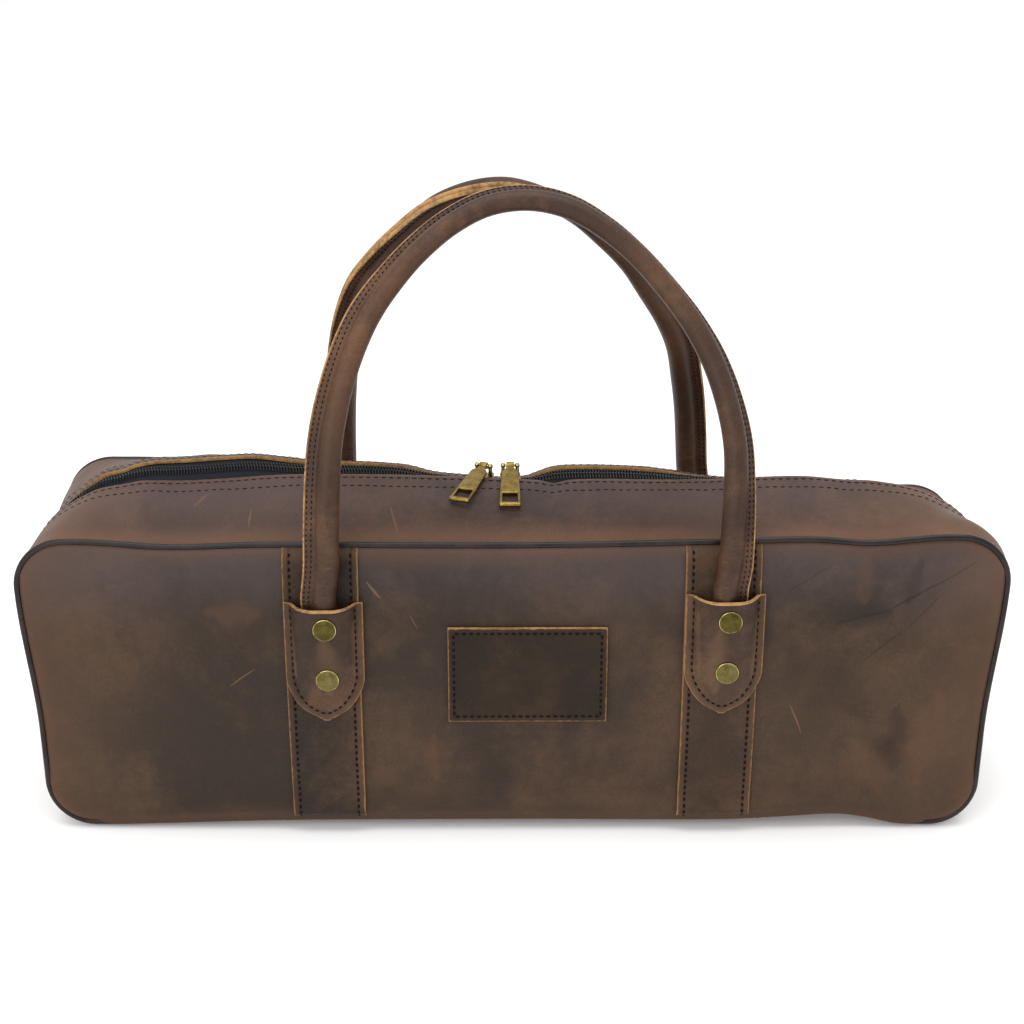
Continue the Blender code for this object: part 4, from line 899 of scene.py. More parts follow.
def makeZipGusset(side):
    place = gussetPlace(side)
    piece = gridSheet(sideNames[side] + "ZipGusset", [mix(-1, 1, t) for t in evenly(gusset["steps"])],
                      [-0.01] + evenly(gusset["rows"]), place, (0, 0, 1), (gussetHide, rawGold),
                      borders="t")
    dress(piece, "bag", "brown_leather", sideNames[side] + "_zip_gusset")
    store = []
    width = gussetY - zipY
    for inset in gusset["stitchRows"]:
        end, steps = gusset["sewn"], gusset["lineSteps"]
        points, normals = surfaceLine(place, lambda t: (mix(-end, end, t), 1 - inset / width),
                                      steps, (0, 0, 1))
        for k, normal in enumerate(normals):
            across, up = zipStation(mix(-end, end, k / steps))[3]
            if normal.dot(Vector((across, 0.0, up))) < 0:
                normals[k] = -normal
        stitchesAlong(store, points, normals, gussetStitch)
    dress(sewStitches(sideNames[side] + "ZipStitches", store), "bag", "brown_leather")


def basePlace(x, v):
    y = mix(-gussetY - gusset["under"], gussetY + gusset["under"], v)
    straight = seamX - bottomRadius
    t = ease((y + gussetY) / (2 * gussetY))
    if abs(x) <= straight + bottomRadius:
        angle = math.asin(min(1.0, max(0.0, abs(x) - straight) / bottomRadius))
        hand = math.copysign(1.0, x)
        normal = Vector((hand * math.sin(angle), 0.0, -math.cos(angle)))
        height = mix(bottomEdge(front, x), bottomEdge(rear, x), t)
    else:
        hand = math.copysign(1.0, x)
        normal = Vector((hand, 0.0, 0.0))
        height = mix(seamBottom + bottomRadius, bag["zipStart"] - bag["fit"],
                     (abs(x) - seamX) / bag["endRise"])
        x = hand * seamX
    near = min(max(x, -straight), straight)
    seam = mix(bottomEdge(front, near), bottomEdge(rear, near), t)
    flat = ease((gussetY - abs(y)) / bag["baseEdge"])
    down = max(0.0, -normal.z) * (seam - bag["leather"] / 2) * flat
    return Vector((drawnIn(x, height), y, height)) + normal * (bag["leather"] / 2 + down)


def makeBase():
    straight = seamX - bottomRadius
    arc = [straight + bottomRadius * math.sin(math.pi / 2 * k / 10) for k in range(1, 11)]
    end = [seamX + bag["endRise"] * k / 4 for k in range(1, 5)]
    middle = [mix(-straight, straight, k / 110) for k in range(111)]
    us = [-x for x in reversed(end)] + [-x for x in reversed(arc)] + middle + arc + end
    piece = gridSheet("baseGusset", us, evenly(36), basePlace, (0, 0, -1), (gussetHide,), rimRound=0)
    away = piece.data.attributes.new("edge", "FLOAT", "POINT")
    away.data.foreach_set("value", [1.0] * len(piece.data.vertices))
    dress(piece, "bag", "brown_leather", "bottom_gusset")


for side in (front, rear):
    makeZipGusset(side)
makeBase()
print("gussets made")


def tapePlace(side):
    def place(u, v):
        y = side * mix(tape["width"], bag["fit"] / 2, v)
        station = zipStation(u)
        coilEdge = tape["coilWidth"] / 2
        if abs(y) >= zipY:
            offset = tapeOffset(u, y)
        else:
            share = max(0.0, (abs(y) - coilEdge) / (zipY - coilEdge))
            offset = mix(coilSeat(u), tapeOffset(u, side * zipY), share)
        return gussetPoint(station, y, offset)
    return place


def makeZip():
    for side in (front, rear):
        vs = [0.0, 0.22, (tape["width"] - zipY) / (tape["width"] - bag["fit"] / 2), 0.52, 0.62,
              (tape["width"] - tape["coilWidth"] / 2) / (tape["width"] - bag["fit"] / 2), 0.85, 1.0]
        piece = gridSheet("zipTape" + sideNames[side].title(), [mix(-1, 1, t) for t in evenly(240)], vs,
                          tapePlace(side), (0, 0, 1), (tapeWeave,), thickness=tape["thickness"], rimRound=0)
        dress(piece, "bag", "zip_tape", "zip_tape_" + sideNames[side])
    # teeth: bent nylon bars from both sides, half a pitch apart
    half, tall, thick = tape["coilWidth"] / 2, tape["coilThickness"], tape["tooth"]
    profile = [(half * reach, tall * up) for reach, up in
               ((1.0, 0.2), (0.93, 0.62), (0.68, 0.9), (0.36, 0.9), (0.12, 0.62), (0.0, 0.3))]
    verts, faces = [], []
    for side in (front, rear):
        count = int(2 * zipRun / tape["pitch"])
        for n in range(count):
            place = mix(-1, 1, (n + (0.25 if side == front else 0.75)) / count)
            station = zipStation(place)
            seat = coilSeat(place) + bag["fit"]
            along = Vector((station[3][1], 0.0, -station[3][0]))
            normal = Vector((station[3][0], 0.0, station[3][1]))
            base = len(verts)
            for k, (y, up) in enumerate(profile):
                slant = side * tape["slant"] * (1 - y / half)
                centre = gussetPoint(station, side * y, seat + up) + along * slant
                before, after = profile[max(k - 1, 0)], profile[min(k + 1, len(profile) - 1)]
                run = Vector((0, side * (after[0] - before[0]), 0)) + normal * (after[1] - before[1])
                lift = run.normalized().cross(along).normalized()
                for m in range(5):
                    angle = 2 * math.pi * m / 5
                    spoke = along * (thick * math.cos(angle)) + lift * (thick * math.sin(angle))
                    verts.append(tuple(centre + spoke))
                if k:
                    for m in range(5):
                        a, b = base + (k - 1) * 5, base + k * 5
                        faces.append((a + m, a + (m + 1) % 5, b + (m + 1) % 5, b + m))
            faces += [tuple(base + m for m in range(5)), tuple(base + 25 + m for m in reversed(range(5)))]
    piece = meshPiece("zipTeeth", verts, faces, (coilNylon,))
    turnFacesOut(piece)
    smooth(piece, 60)
    dress(piece, "bag", "zip_coil", "zip_coil")


makeZip()
print("zip made")


piping = {"shows": 0.7, "around": 14, "topSteps": 170, "cornerSteps": 14, "endSteps": 34}


def seamLoop(side):
    # along the bottom to the right, up, back over the top and down the left end
    straightLow = seamX - bottomRadius
    steps, corner, end = piping["topSteps"], piping["cornerSteps"], piping["endSteps"]
    low, high = seamBottom + bottomRadius, seamTop - topRadius

    def bend(start, radius, top, shares):
        return [seamPoint(side, start + radius * math.sin(math.pi / 2 * k / corner), top) for k in shares]

    def flank(x, shares):
        spots = []
        for k in shares:
            z = mix(low, high, k / end)
            moved = mix(bottomEdge(side, x) - low, topEdge(side, x) - high, k / end)
            spots.append(Vector((drawnIn(x, z), 0.0, z + moved)))
        return spots

    points = [seamPoint(side, mix(-straightLow, straightLow, k / steps), False) for k in range(steps)]
    points += bend(straightLow, bottomRadius, False, range(corner))
    points += flank(seamX, range(end))
    points += bend(straightTop, topRadius, True, range(corner, 0, -1))
    points += [seamPoint(side, mix(straightTop, -straightTop, k / steps), True) for k in range(steps)]
    points += bend(-straightTop, -topRadius, True, range(corner))
    points += flank(-seamX, range(end, -1, -1))
    points += bend(-straightLow, -bottomRadius, False, range(corner - 1, 0, -1))
    return [Vector((p.x, side * seamY, p.z)) for p in points]


def makePiping(side):
    points = seamLoop(side)
    rings = []
    for k, centre in enumerate(points):
        tangent = (points[(k + 1) % len(points)] - points[k - 1]).normalized()
        outward = Vector((0, 1, 0))
        across = tangent.cross(outward).normalized()
        uneven = 1 + 0.03 * noise.noise(centre * 160) + 0.02 * noise.noise(centre * 500)
        radius = cordRadius * piping["shows"] * uneven
        rings.append([centre + outward * (radius * math.cos(a)) + across * (radius * math.sin(a))
                      for a in (2 * math.pi * m / piping["around"] for m in range(piping["around"]))])
    piece = loft(sideNames[side] + "Piping", rings, (pipingHide,), closed=True)
    dress(piece, "bag", "piping_leather", sideNames[side] + "_piping")


for side in (front, rear):
    makePiping(side)
print("piping made")


strap = {"width": 38 * mm, "spacing": 203 * mm, "centre": 5 * mm, "rows": 90, "columns": 20,
         "stitchInset": 3.6 * mm, "sink": 3.1 * mm, "roll": 5.5 * mm}
strapStitch = {"pitch": 3.7 * mm, "share": 0.7, "width": 1.2 * mm, "height": 0.8 * mm, "lift": 0.1 * mm}


def strapX(hand):
    return strap["centre"] + hand * strap["spacing"] / 2


def strapFace(side, x, z):
    return panelFace(side, x, z) + bag["fit"] + bag["leather"]


def strapPlace(side, hand):
    def place(u, v):
        x = strapX(hand) + strap["width"] * (u - 0.5)
        low, high = bottomEdge(side, x, panel["inset"]), topEdge(side, x, panel["inset"])
        z = mix(low, high, v)
        sunk = strap["sink"] * (1 - ease(min(z - low, high - z) / strap["roll"]))
        return Vector((x, side * (strapFace(side, x, z) - sunk), z))
    return place


def makeStrap(side, hand):
    place = strapPlace(side, hand)
    name = sideNames[side] + handNames[hand].title()
    piece = gridSheet(name + "Strap", evenly(strap["columns"]), crowded(strap["rows"]), place, (0, side, 0),
                      (strapHide, rawTan), borders="lr")
    dress(piece, "bag", "strap_leather", "strap_" + sideNames[side] + "_" + handNames[hand])
    store = []
    inset = strap["stitchInset"] / strap["width"]
    for u in (inset, 1 - inset):
        points, normals = surfaceLine(place, lambda t: (u, mix(0.015, 0.985, t)), 160, (0, side, 0))
        stitchesAlong(store, points, normals, strapStitch)
    dress(sewStitches(name + "StrapStitches", store), "bag", "strap_leather")


for side in (front, rear):
    for hand in (left, right):
        makeStrap(side, hand)
print("straps made")


tab = {"width": 40 * mm, "top": 136.5 * mm, "rightLift": 4 * mm, "length": 66 * mm, "point": 25 * mm,
       "shift": {front: 1.2 * mm, rear: -2.0 * mm}, "stitchInset": 3.8 * mm, "mouthDip": 1.0 * mm}
rivet = {"diameter": 12 * mm, "height": 1.8 * mm, "shift": 1.5 * mm, "drop": 10.5 * mm, "pitch": 30 * mm}
handle = {"diameter": 12.2 * mm, "slimming": 0.87, "flangeThickness": 4.5 * mm, "foot": 84 * mm,
          "apex": 329.2 * mm, "meet": 17 * mm, "footThickness": 3.8 * mm, "round": 6 * mm, "steps": 24}
footSwell = ((0.0, 0.0), (0.31, 0.03), (0.45, 0.33), (0.58, 0.5), (0.83, 0.54), (0.9, 0.78), (1.0, 1.0))
rivetSeat = rivet["diameter"] / 2 + 1 * mm


def tabX(side, hand):
    return strapX(hand) + tab["shift"][side]


def tabTop(hand):
    return tab["top"] + (tab["rightLift"] if hand == right else 0.0)


def handleFoot(hand):
    return handle["foot"] + tabTop(hand) - tab["top"]


def rivetHeights(hand):
    upper = tabTop(hand) - rivet["drop"]
    return upper, upper - rivet["pitch"]


def handleThickness(hand, z):
    t = (z - handleFoot(hand)) / (tab["top"] + handle["round"] - handle["foot"])
    return mix(handle["footThickness"], handle["diameter"], between(footSwell, t))


def tabFace(side, hand, x, z):
    foot = handleFoot(hand)
    crown = bag["leather"] + ((handleThickness(hand, max(z, foot)) + 2.2 * bag["fit"])
                              * ease((z - foot + tab["point"] / 2) / (tab["point"] / 2)))
    across = min(abs(x - tabX(side, hand)) / (tab["width"] / 2 * 0.86), 1.0)
    flat = strapFace(side, x, z) + bag["fit"] + bag["leather"]
    return flat + (crown - bag["leather"]) * (1 - across ** 3.2)


def rivetFace(side, hand, height):
    return tabFace(side, hand, tabX(side, hand) + rivet["shift"], height)


def seatedTabFace(side, hand, x, z):
    face = tabFace(side, hand, x, z)
    for height in rivetHeights(hand):
        away = math.hypot(x - tabX(side, hand) - rivet["shift"], z - height) - rivetSeat
        face = mix(face, rivetFace(side, hand, height), 1 - ease(away / (rivetSeat / 2)))
    return face


def tabHalfWidth(hand, z):
    down = (tabTop(hand) - tab["length"] + tab["point"] - z) / tab["point"]
    if down <= 0:
        return tab["width"] / 2
    return tab["width"] / 2 * max(0.06, (1 - min(down, 1.0) ** 1.9) ** 0.8)


def tabPlace(side, hand, inset=0.0):
    def place(u, v):
        share = 2 * u - 1
        top = tabTop(hand) - tab["mouthDip"] * (1 - share ** 2)
        z = mix(tabTop(hand) - tab["length"], top, v)
        x = tabX(side, hand) + (tabHalfWidth(hand, z) - inset) * share
        return Vector((x, side * seatedTabFace(side, hand, x, z), z))
    return place


def makeTab(side, hand):
    name = sideNames[side] + handNames[hand].title()
    place = tabPlace(side, hand)
    piece = gridSheet(name + "Tab", evenly(40), evenly(60), place, (0, side, 0), (tabHide, rawTan),
                      borders="lrb")
    dress(piece, "bag", "strap_leather", "tab_" + sideNames[side] + "_" + handNames[hand])
    # the stitch line runs down the left edge, round the point and up the right edge
    inset = tab["stitchInset"]
    tipZ = tabTop(hand) - tab["length"] + inset * 1.15
    line = []
    for k in range(61):
        z = mix(tabTop(hand) - 1.5 * mm, tipZ, k / 60)
        outline = max(0.0, tabHalfWidth(hand, z - inset * 0.55) - inset) if k < 60 else 0.0
        line.append((-outline, z))
    line += [(-x, z) for x, z in reversed(line[:-1])]
    points, normals = [], []
    for x, z in line:
        px, step = tabX(side, hand) + x, 0.4 * mm
        here, rightOf, leftOf, above, below = [
            seatedTabFace(side, hand, px + dx, z + dz)
            for dx, dz in ((0, 0), (step, 0), (-step, 0), (0, step), (0, -step))]
        points.append(Vector((px, side * here, z)))
        slopeX, slopeZ = (rightOf - leftOf) / (2 * step), (above - below) / (2 * step)
        normals.append(Vector((-slopeX, side, -slopeZ)).normalized())
    store = []
    stitchesAlong(store, points, normals, strapStitch)
    dress(sewStitches(name + "TabStitches", store), "bag", "strap_leather")


capRings = (  # radius, height
    (6.0, 0.0), (6.0, 0.35), (5.85, 0.62), (5.55, 0.8), (5.1, 0.84), (4.9, 0.8), (4.4, 1.05), (3.2, 1.42),
    (1.6, 1.62), (0.0, 1.7))


def grow(move, scale=None):
    # extrude the selection, move it and widen it
    bpy.ops.mesh.extrude_region_move(TRANSFORM_OT_translate={"value": move})
    if scale:
        bpy.ops.transform.resize(value=scale, center_override=(0, 0, 0))


def makeRivetModel():
    # a disc drawn up ring by ring into a low dome
    clearSelection()
    bpy.ops.mesh.primitive_circle_add(vertices=40, radius=capRings[0][0] * mm, fill_type="NGON")
    piece = bpy.context.object
    bpy.ops.object.mode_set(mode="EDIT")
    bpy.ops.mesh.select_all(action="SELECT")
    for (before, low), (radius, up) in zip(capRings, capRings[1:-1]):
        scale = radius / before
        grow((0, 0, (up - low) * mm), (scale, scale, 1))
    grow((0, 0, (capRings[-1][1] - capRings[-2][1]) * mm))
    bpy.ops.mesh.merge(type="CENTER")
    bpy.ops.mesh.select_all(action="SELECT")
    bpy.ops.mesh.normals_make_consistent(inside=False)
    bpy.ops.object.mode_set(mode="OBJECT")
    piece.data.materials.append(shadedCapBrass)
    piece.data.materials.append(rimBrass)
    for face in piece.data.polygons:
        reach = math.hypot(face.center.x, face.center.y)
        if 5.5 * mm < reach < 5.9 * mm and face.center.z > 0.5 * mm:
            face.material_index = 1
    smooth(piece, 40)
    return piece


def makeRivet(side, hand, height, where):
    x = tabX(side, hand) + rivet["shift"]
    y = side * (rivetFace(side, hand, height) + 0.1 * mm)
    place = Matrix.Translation((x, y, height)) @ Matrix.Rotation(-side * math.pi / 2, 4, "X")
    piece = copied(rivetModel, sideNames[side] + handNames[hand].title() + "Rivet" + where.title(), place)
    # painted light: the upper cap takes the darker, shaded copy of the brass and the lower cap the lighter,
    # lit copy
    piece.data.materials[0] = shadedCapBrass if where == "upper" else litCapBrass
    dress(piece, "bag", "antique_brass", "rivet_" + sideNames[side] + "_" + handNames[hand] + "_" + where)


rivetModel = makeRivetModel()
for side in (front, rear):
    for hand in (left, right):
        makeTab(side, hand)
        for height, where in zip(rivetHeights(hand), ("upper", "lower")):
            makeRivet(side, hand, height, where)
bpy.data.objects.remove(rivetModel, do_unlink=True)
print("tabs and rivets made")


patch = {"width": 81.5 * mm, "height": 53 * mm, "x": 8 * mm, "z": 95 * mm, "stitchInset": 3.0 * mm}
patchStitch = dict(strapStitch, pitch=3.6 * mm)


def patchPlace(u, v):
    x = patch["x"] + patch["width"] * (u - 0.5)
    z = patch["z"] + patch["height"] * (v - 0.5)
    return Vector((x, -(panelFace(front, x, z) + bag["fit"] + bag["leather"]), z))


def makePatch():
    piece = gridSheet("labelPatch", evenly(54), evenly(36), patchPlace, (0, -1, 0), (patchHide, rawTan),
                      borders="lrtb")
    dress(piece, "bag", "patch_leather", "label_patch")
    a, b = patch["stitchInset"] / patch["width"], patch["stitchInset"] / patch["height"]
    store = []
    corners = ((a, b), (1 - a, b), (1 - a, 1 - b), (a, 1 - b))
    for start, end in zip(corners, corners[1:] + corners[:1]):
        def line(t):
            return mix(start[0], end[0], t), mix(start[1], end[1], t)
        points, normals = surfaceLine(patchPlace, line, 40, (0, -1, 0))
        stitchesAlong(store, points, normals, patchStitch)
    dress(sewStitches("patchStitches", store), "bag", "patch_leather")


makePatch()
print("patch made")


handleLines = {  # share of the height, half spread, drift
    front: ((0.0, 0.988, 0.014), (0.22, 0.986, 0.024), (0.492, 0.988, 0.05), (0.567, 0.968, 0.051),
            (0.657, 0.917, 0.048), (0.748, 0.82, 0.038), (0.8, 0.732, 0.026), (0.866, 0.605, 0.024),
            (0.937, 0.414, 0.016), (0.986, 0.2, 0.014), (1.0, 0.0, 0.01)),
    rear: ((0.0, 0.974, -0.022), (0.22, 0.973, -0.022), (0.435, 0.944, -0.032), (0.6, 0.886, -0.043),
           (0.667, 0.841, -0.053), (0.736, 0.766, -0.078), (0.8, 0.682, -0.082), (0.862, 0.563, -0.087),
           (0.942, 0.374, -0.11), (0.984, 0.17, -0.12), (0.9985, 0.0, -0.128))}
flangeTurns = {
    front: ((0.0, 0), (0.25, 5), (0.31, 18), (0.365, 48), (0.41, 60), (0.5, 70), (0.6, 80), (0.65, 76),
            (0.69, 68), (0.77, 50), (0.85, 28), (0.93, 8), (1.0, 0)),
    rear: ((0.0, 0), (0.22, 4), (0.27, 11), (0.31, 20), (0.35, 32), (0.4, 56), (0.44, 68), (0.48, 75),
           (0.53, 72), (0.6, 50), (0.68, 22), (0.8, 6), (1.0, 0))}
flangeStitch = {"pitch": 2.75 * mm, "share": 0.6, "width": 0.62 * mm, "height": 0.6 * mm, "lift": 0.1 * mm}


def through(a, b, c, d, t):
    # smooth curve between b and c
    return 0.5 * (2 * b + (c - a) * t + (2 * a - 5 * b + 4 * c - d) * t ** 2
                  + (3 * b - a - 3 * c + d) * t ** 3)


def curveThrough(points, count):
    fine = []
    padded = [points[0] * 2 - points[1]] + points + [points[-1] * 2 - points[-2]]
    for a, b, c, d in zip(padded, padded[1:], padded[2:], padded[3:]):
        fine += [through(a, b, c, d, k / 12) for k in range(12)]
    fine.append(points[-1])
    runs = runsAlong(fine)
    stations, k = [], 0
    for n in range(count + 1):
        want = runs[-1] * n / count
        while k < len(fine) - 2 and runs[k + 1] < want:
            k += 1
        stations.append(fine[k].lerp(fine[k + 1], (want - runs[k]) / (runs[k + 1] - runs[k])))
    return stations


def handAt(x):
    return left if x < strap["centre"] else right


def handleLean(side, hand, x, z):
    foot = strapFace(side, x, min(z, tabTop(hand))) + bag["fit"] + handleThickness(hand, z) / 2
    t = (z - bag["height"]) / (handle["apex"] - bag["height"])
    return mix(foot, handle["meet"], (ease(t) + max(t, 0.0)) / 2)


def handleStations(side):
    half = strap["spacing"] / 2
    rise = handle["apex"] - handle["foot"]
    ends = {hand: [Vector((strap["centre"] + half * (drift + hand * spread), 0.0,
                           handle["foot"] + rise * height))
                   for height, spread, drift in handleLines[side][1:]] for hand in (left, right)}
    bow = curveThrough(ends[left] + ends[right][-2::-1], handle["steps"])
    bow = [(handAt(p.x), p) for p in bow if p.z > tabTop(handAt(p.x)) + 2 * handle["round"]]
    spread, drift = handleLines[side][0][1:]
    feet = []
    for hand in (left, right):
        x = strap["centre"] + half * (drift + hand * spread)
        mouth = tabTop(hand) + handle["round"]
        feet.append([(hand, Vector((x, 0.0, mix(handleFoot(hand), mouth, place))))
                     for place, swell in footSwell])
    stations = feet[0] + bow + feet[1][::-1]
    return [(hand, Vector((p.x, side * handleLean(side, hand, p.x, p.z), p.z))) for hand, p in stations]


def handleFrames(side):
    # centre, direction of the flange, direction across, squash, for each coarse station
    stations = handleStations(side)
    heart = Vector((strap["centre"], 0.0, mix(handle["foot"], handle["apex"], 0.45)))
    runs = runsAlong([centre for hand, centre in stations])
    frames = []
    for k, (hand, centre) in enumerate(stations):
        tangent = (stations[min(k + 1, len(stations) - 1)][1] - stations[max(k - 1, 0)][1]).normalized()
        if centre.z < tabTop(hand) + 2 * handle["round"]:
            tangent = Vector((0, 0, math.copysign(1, tangent.z)))
        out = centre - heart
        out.y = 0.0
        if centre.z < heart.z:
            out.z = 0.0
        out = (out - tangent * out.dot(tangent)).normalized()
        inward = Vector((0.0, -side, 0.0))
        inward = (inward - tangent * inward.dot(tangent) - out * inward.dot(out)).normalized()
        turn = math.radians(between(flangeTurns[side], runs[k] / runs[-1]))
        along = out * math.cos(turn) + inward * math.sin(turn)
        across = inward * math.cos(turn) - out * math.sin(turn)
        frames.append((centre, along, across, handleThickness(hand, centre.z) / handle["diameter"]))
    return frames


def fineFrames(frames, parts):
    # smooth curve through the coarse stations
    made = []
    for k in range(len(frames) - 1):
        four = [frames[max(k - 1, 0)], frames[k], frames[k + 1], frames[min(k + 2, len(frames) - 1)]]
        steps = parts if (frames[k + 1][0] - frames[k][0]).length > 12 * mm else 2
        for n in range(steps):
            t = n / steps
            centre, along, across = [through(*[f[part] for f in four], t) for part in range(3)]
            along = along.normalized()
            across = (across - along * across.dot(along)).normalized()
            made.append((centre, along, across, mix(four[1][3], four[2][3], t)))
    made.append(frames[-1])
    return made


def tubeRadius(z):
    up = ease((z - bag["height"]) / (handle["apex"] - bag["height"]))
    return handle["diameter"] / 2 * mix(1, handle["slimming"], up)


def makeHandle(side):
    half = handle["flangeThickness"] / 2
    # the flange's outline: reach beyond the tube, share of its half thickness
    flange = [(0.4, -0.9), (1.2, -0.94), (2.8, -0.97), (4.8, -0.99), (5.45, -0.95),
              (5.6, -0.84), (5.6, -0.2)]
    flange += [(5.2, 0.0)] + [(reach, -share) for reach, share in flange[::-1]]
    frames = fineFrames(handleFrames(side), 7)
    rings = []
    for centre, along, across, squash in frames:
        radius = tubeRadius(centre.z) * (1 + 0.012 * noise.noise(centre * 60))
        notch = math.asin(half / radius)
        section = [(radius * math.cos(a), radius * math.sin(a))
                   for a in (mix(notch, 2 * math.pi - notch, k / 24) for k in range(25))]
        section += [(radius + reach * mm, half * share) for reach, share in flange]
        rings.append([centre + along * a + across * (b * squash) for a, b in section])
    piece = loft("handle" + sideNames[side].title(), rings, (handleHide, rawTan),
                 lambda k, n: 1 if 28 <= n <= 35 else 0)
    dress(piece, "bag", "handle_leather", "handle_" + sideNames[side])
    store = []
    for face in (-1, 1):
        for reach in (1.45 * mm, 3.85 * mm):
            points, normals = [], []
            for centre, along, across, squash in frames:
                out = along * (tubeRadius(centre.z) + reach)
                points.append(centre + out + across * (face * half * 0.96 * squash))
                normals.append(across * face)
            stitchesAlong(store, points, normals, flangeStitch)
    dress(sewStitches("handle" + sideNames[side].title() + "Stitches", store), "bag", "handle_leather")


for side in (front, rear):
    makeHandle(side)
print("handles made")


slider = {"length": 11 * mm, "width": 10.3 * mm, "plate": 1.2 * mm, "flange": 0.8 * mm, "skirt": 1.75 * mm,
          "pinHeight": 5.8 * mm, "pin": 0.7 * mm, "knob": 1.4 * mm, "reach": 3.75 * mm,
          "postFoot": 1.25 * mm, "postHead": 0.85 * mm, "loop": 2.6 * mm, "wire": 0.45 * mm}
pull = {"neck": 4 * mm, "thickness": 1.6 * mm, "eye": 1.85 * mm, "eyeWall": 0.75 * mm, "rail": 1.3 * mm,
        "bar": 1.45 * mm, "barWidth": 11.2 * mm,
        # distance from the pin, width
        "outline": ((1.3, 3.8), (3.2, 3.8), (4.0, 4.3), (4.7, 5.3), (5.4, 6.8), (6.1, 8.0), (6.9, 8.6),
                    (8.4, 8.8), (17.0, 9.5), (24.7, 10.4), (35.7, 10.9))}
pullSpots = {  # x, pin height, yaw, droop
    "left": (-15 * mm, 184.21 * mm, -20.0, 10.333), "right": (-1 * mm, 184.297 * mm, 0.0, 14.012)}


def block(size, centre, round=0.3 * mm):
    clearSelection()
    bpy.ops.mesh.primitive_cube_add(size=1, location=centre, scale=size)
    piece = settle()
    soften(piece, round)
    return piece


def bar(radius, length, centre, round=0.3 * mm):
    clearSelection()
    bpy.ops.mesh.primitive_cylinder_add(vertices=28, radius=radius, depth=length, location=centre,
                                        rotation=(0, math.pi / 2, 0))
    piece = settle()
    soften(piece, round)
    return piece


def joined(pieces, skin):
    clearSelection()
    for piece in pieces:
        piece.select_set(True)
    bpy.context.view_layer.objects.active = pieces[0]
    bpy.ops.object.join()
    made = bpy.context.object
    made.data.materials.clear()
    made.data.materials.append(skin)
    smooth(made, 40)
    return made


def makeSliderModels():
    plateZ = -slider["pinHeight"] - slider["plate"] / 2
    # the body and its side flanges, along the zip
    body = block((slider["length"], slider["width"], slider["plate"]), (0, 0, plateZ), 0.5 * mm)
    pieces = [body]
    for flank in (-1, 1):
        y = flank * (slider["width"] - slider["flange"]) / 2
        low = plateZ + slider["plate"] / 2 - slider["skirt"] / 2
        size = (slider["length"] * 0.9, slider["flange"], slider["skirt"])
        pieces.append(block(size, (0, y, low), 0.25 * mm))
    body = joined(pieces, pullBrass)
    # the bridge turns with its pull: two posts, the pin with a knob at each end, a wire loop behind
    pieces = [bar(slider["pin"], 2 * slider["reach"], (0, 0, 0), 0.1 * mm)]
    for flank in (-1, 1):
        clearSelection()
        bpy.ops.mesh.primitive_cone_add(vertices=20, radius1=slider["postFoot"], radius2=slider["postHead"],
                                        depth=slider["pinHeight"],
                                        location=(flank * slider["reach"], 0, -slider["pinHeight"] / 2))
        pieces.append(settle())
        clearSelection()
        bpy.ops.mesh.primitive_uv_sphere_add(segments=24, ring_count=14, radius=slider["knob"],
                                             location=(flank * slider["reach"], 0, 0))
        pieces.append(settle())
    clearSelection()
    bpy.ops.mesh.primitive_torus_add(major_segments=36, minor_segments=10, major_radius=slider["loop"],
                                     minor_radius=slider["wire"], rotation=(math.pi / 2, 0, 0),
                                     location=(0, 3 * mm, -slider["pinHeight"] + 1.2 * mm))
    pieces.append(settle())
    return body, joined(pieces, rimBrass)


def makePullModel():
    rows = [(reach * mm, width * mm) for reach, width in pull["outline"]]
    # a narrow strip drawn out row by row, from the eye to the bar
    clearSelection()
    bpy.ops.mesh.primitive_plane_add(size=1)
    plate = bpy.context.object
    for vert in plate.data.vertices:
        row = rows[0] if vert.co.y > 0 else rows[1]
        vert.co = (math.copysign(row[1] / 2, vert.co.x), -row[0], -pull["thickness"] / 2)
    for (before, wide), (reach, width) in zip(rows[1:], rows[2:]):
        selectWhere(plate, "EDGE", lambda c: c.y < -before + 0.05 * mm)
        grow((0, before - reach, 0), (width / wide, 1, 1))
        bpy.ops.object.mode_set(mode="OBJECT")
    # the window is cut from an inset face, then the whole outline gets its thickness
    selectWhere(plate, "FACE", lambda c: c.y < -25 * mm)
    bpy.ops.mesh.inset(thickness=pull["rail"])
    bpy.ops.mesh.delete(type="FACE")
    bpy.ops.mesh.select_all(action="SELECT")
    grow((0, 0, pull["thickness"]))
    bpy.ops.mesh.select_all(action="SELECT")
    bpy.ops.mesh.normals_make_consistent(inside=False)
    bpy.ops.object.mode_set(mode="OBJECT")
    soften(plate, 0.28 * mm)
    # bar below the window, rim above it
    low = bar(pull["bar"], pull["barWidth"], (0, -35.55 * mm, 0), 0.8 * mm)
    rim = bar(0.95 * mm, 8.6 * mm, (0, -25.1 * mm, 0.1 * mm), 0.5 * mm)
    clearSelection()
    bpy.ops.mesh.primitive_cylinder_add(vertices=32, radius=pull["eye"], depth=pull["neck"],
                                        end_fill_type="NOTHING", rotation=(0, math.pi / 2, 0))
    eye = settle()
    thicken(eye, pull["eyeWall"])
    soften(eye, 0.2 * mm, 2)
    return joined([plate, low, rim, eye], pullBrass)


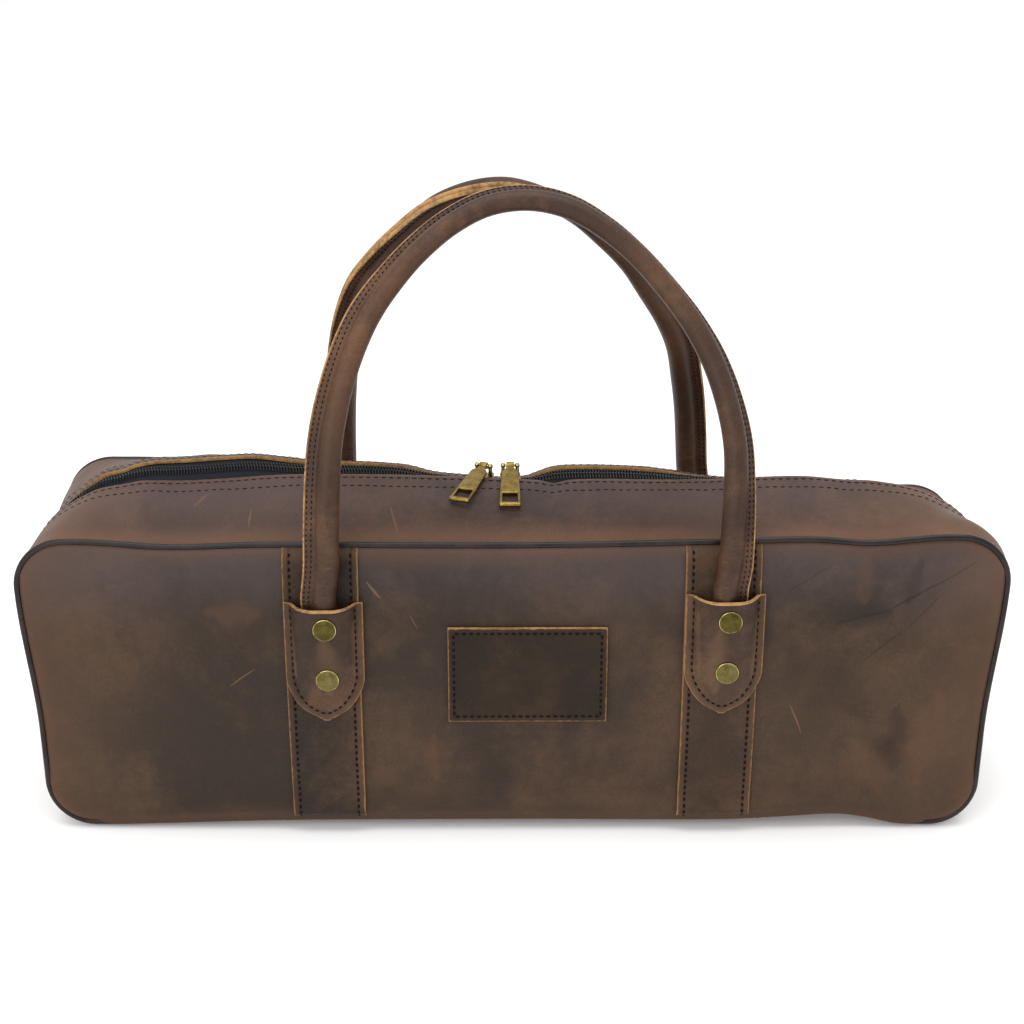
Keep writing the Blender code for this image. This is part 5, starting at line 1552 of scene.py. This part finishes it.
def selectWhere(piece, kind, wanted):
    # edit mode, with only the edges or faces whose middle passes
    bpy.context.view_layer.objects.active = piece
    piece.select_set(True)
    bpy.ops.object.mode_set(mode="EDIT")
    bpy.ops.mesh.select_mode(type=kind)
    bpy.ops.mesh.select_all(action="DESELECT")
    bpy.ops.object.mode_set(mode="OBJECT")
    mesh = piece.data
    if kind == "FACE":
        for face in mesh.polygons:
            face.select = wanted(face.center)
    else:
        for edge in mesh.edges:
            ends = [mesh.vertices[k].co for k in edge.vertices]
            edge.select = all(wanted(end) for end in ends)
    bpy.ops.object.mode_set(mode="EDIT")


sliderBody, sliderBridge = makeSliderModels()
pullModel = makePullModel()
for name, (x, pinZ, yaw, droop) in pullSpots.items():
    seat = Matrix.Translation((x, 0, pinZ))
    turned = seat @ Matrix.Rotation(math.radians(yaw), 4, "Z")
    drooped = turned @ Matrix.Rotation(math.radians(droop), 4, "X")
    body = copied(sliderBody, "slider" + name.title() + "Body", seat)
    dress(body, "bag", "antique_brass", "slider_" + name)
    dress(copied(sliderBridge, "slider" + name.title() + "Bridge", turned), "bag", "antique_brass")
    piece = copied(pullModel, "pull" + name.title(), drooped)
    dress(piece, name + "_pull", "antique_brass", "pull_" + name)
for model in (sliderBody, sliderBridge, pullModel):
    bpy.data.objects.remove(model, do_unlink=True)
print("metal made")


clearSelection()
bpy.ops.mesh.primitive_plane_add(size=12)
floor = bpy.context.object
floor.name = "floor"
floorPaint, floorTree, floorShader, _, _ = newMaterial("floorPaint")
feed(floorTree, floorShader, {"Base Color": (0.93, 0.93, 0.93, 1), "Roughness": 0.7,
                              "Specular IOR Level": 0.2, "Emission Color": (1, 1, 1, 1),
                              "Emission Strength": 0.06})
floor.data.materials.append(floorPaint)

world = bpy.data.worlds.new("studio")
bpy.context.scene.world = world
world.use_nodes = True
world.node_tree.nodes["Background"].inputs[0].default_value = (1, 1, 1, 1)
world.node_tree.nodes["Background"].inputs[1].default_value = 1.0

lamps = (("top", (0.0, -0.15, 1.5), (1.6, 1.0), 14.0), ("front", (-0.9, -1.7, 1.1), (1.4, 1.2), 12.0))
lampTarget = Vector((0.0, 0.0, 0.1))
for name, place, size, power in lamps:
    lampData = bpy.data.lights.new(name, "AREA")
    lampData.shape = "RECTANGLE"
    lampData.size, lampData.size_y = size
    lampData.energy = power
    lamp = bpy.data.objects.new(name, lampData)
    bpy.context.scene.collection.objects.link(lamp)
    lamp.location = place
    lamp.rotation_euler = (lampTarget - Vector(place)).to_track_quat("-Z", "Y").to_euler()

cameraData = bpy.data.cameras.new("camera")
camera = bpy.data.objects.new("camera", cameraData)
bpy.context.scene.collection.objects.link(camera)
camera.location = (0.0, -0.8685, 0.5085)
camera.rotation_euler = (math.radians(68), 0.0, 0.0)
cameraData.sensor_width = 36.0
focalLength, frameWidth = 1750, 1024  # pixels
cameraData.lens = focalLength / frameWidth * cameraData.sensor_width
bpy.context.scene.camera = camera
bpy.context.scene.view_settings.view_transform = "Standard"

print("scene ready")
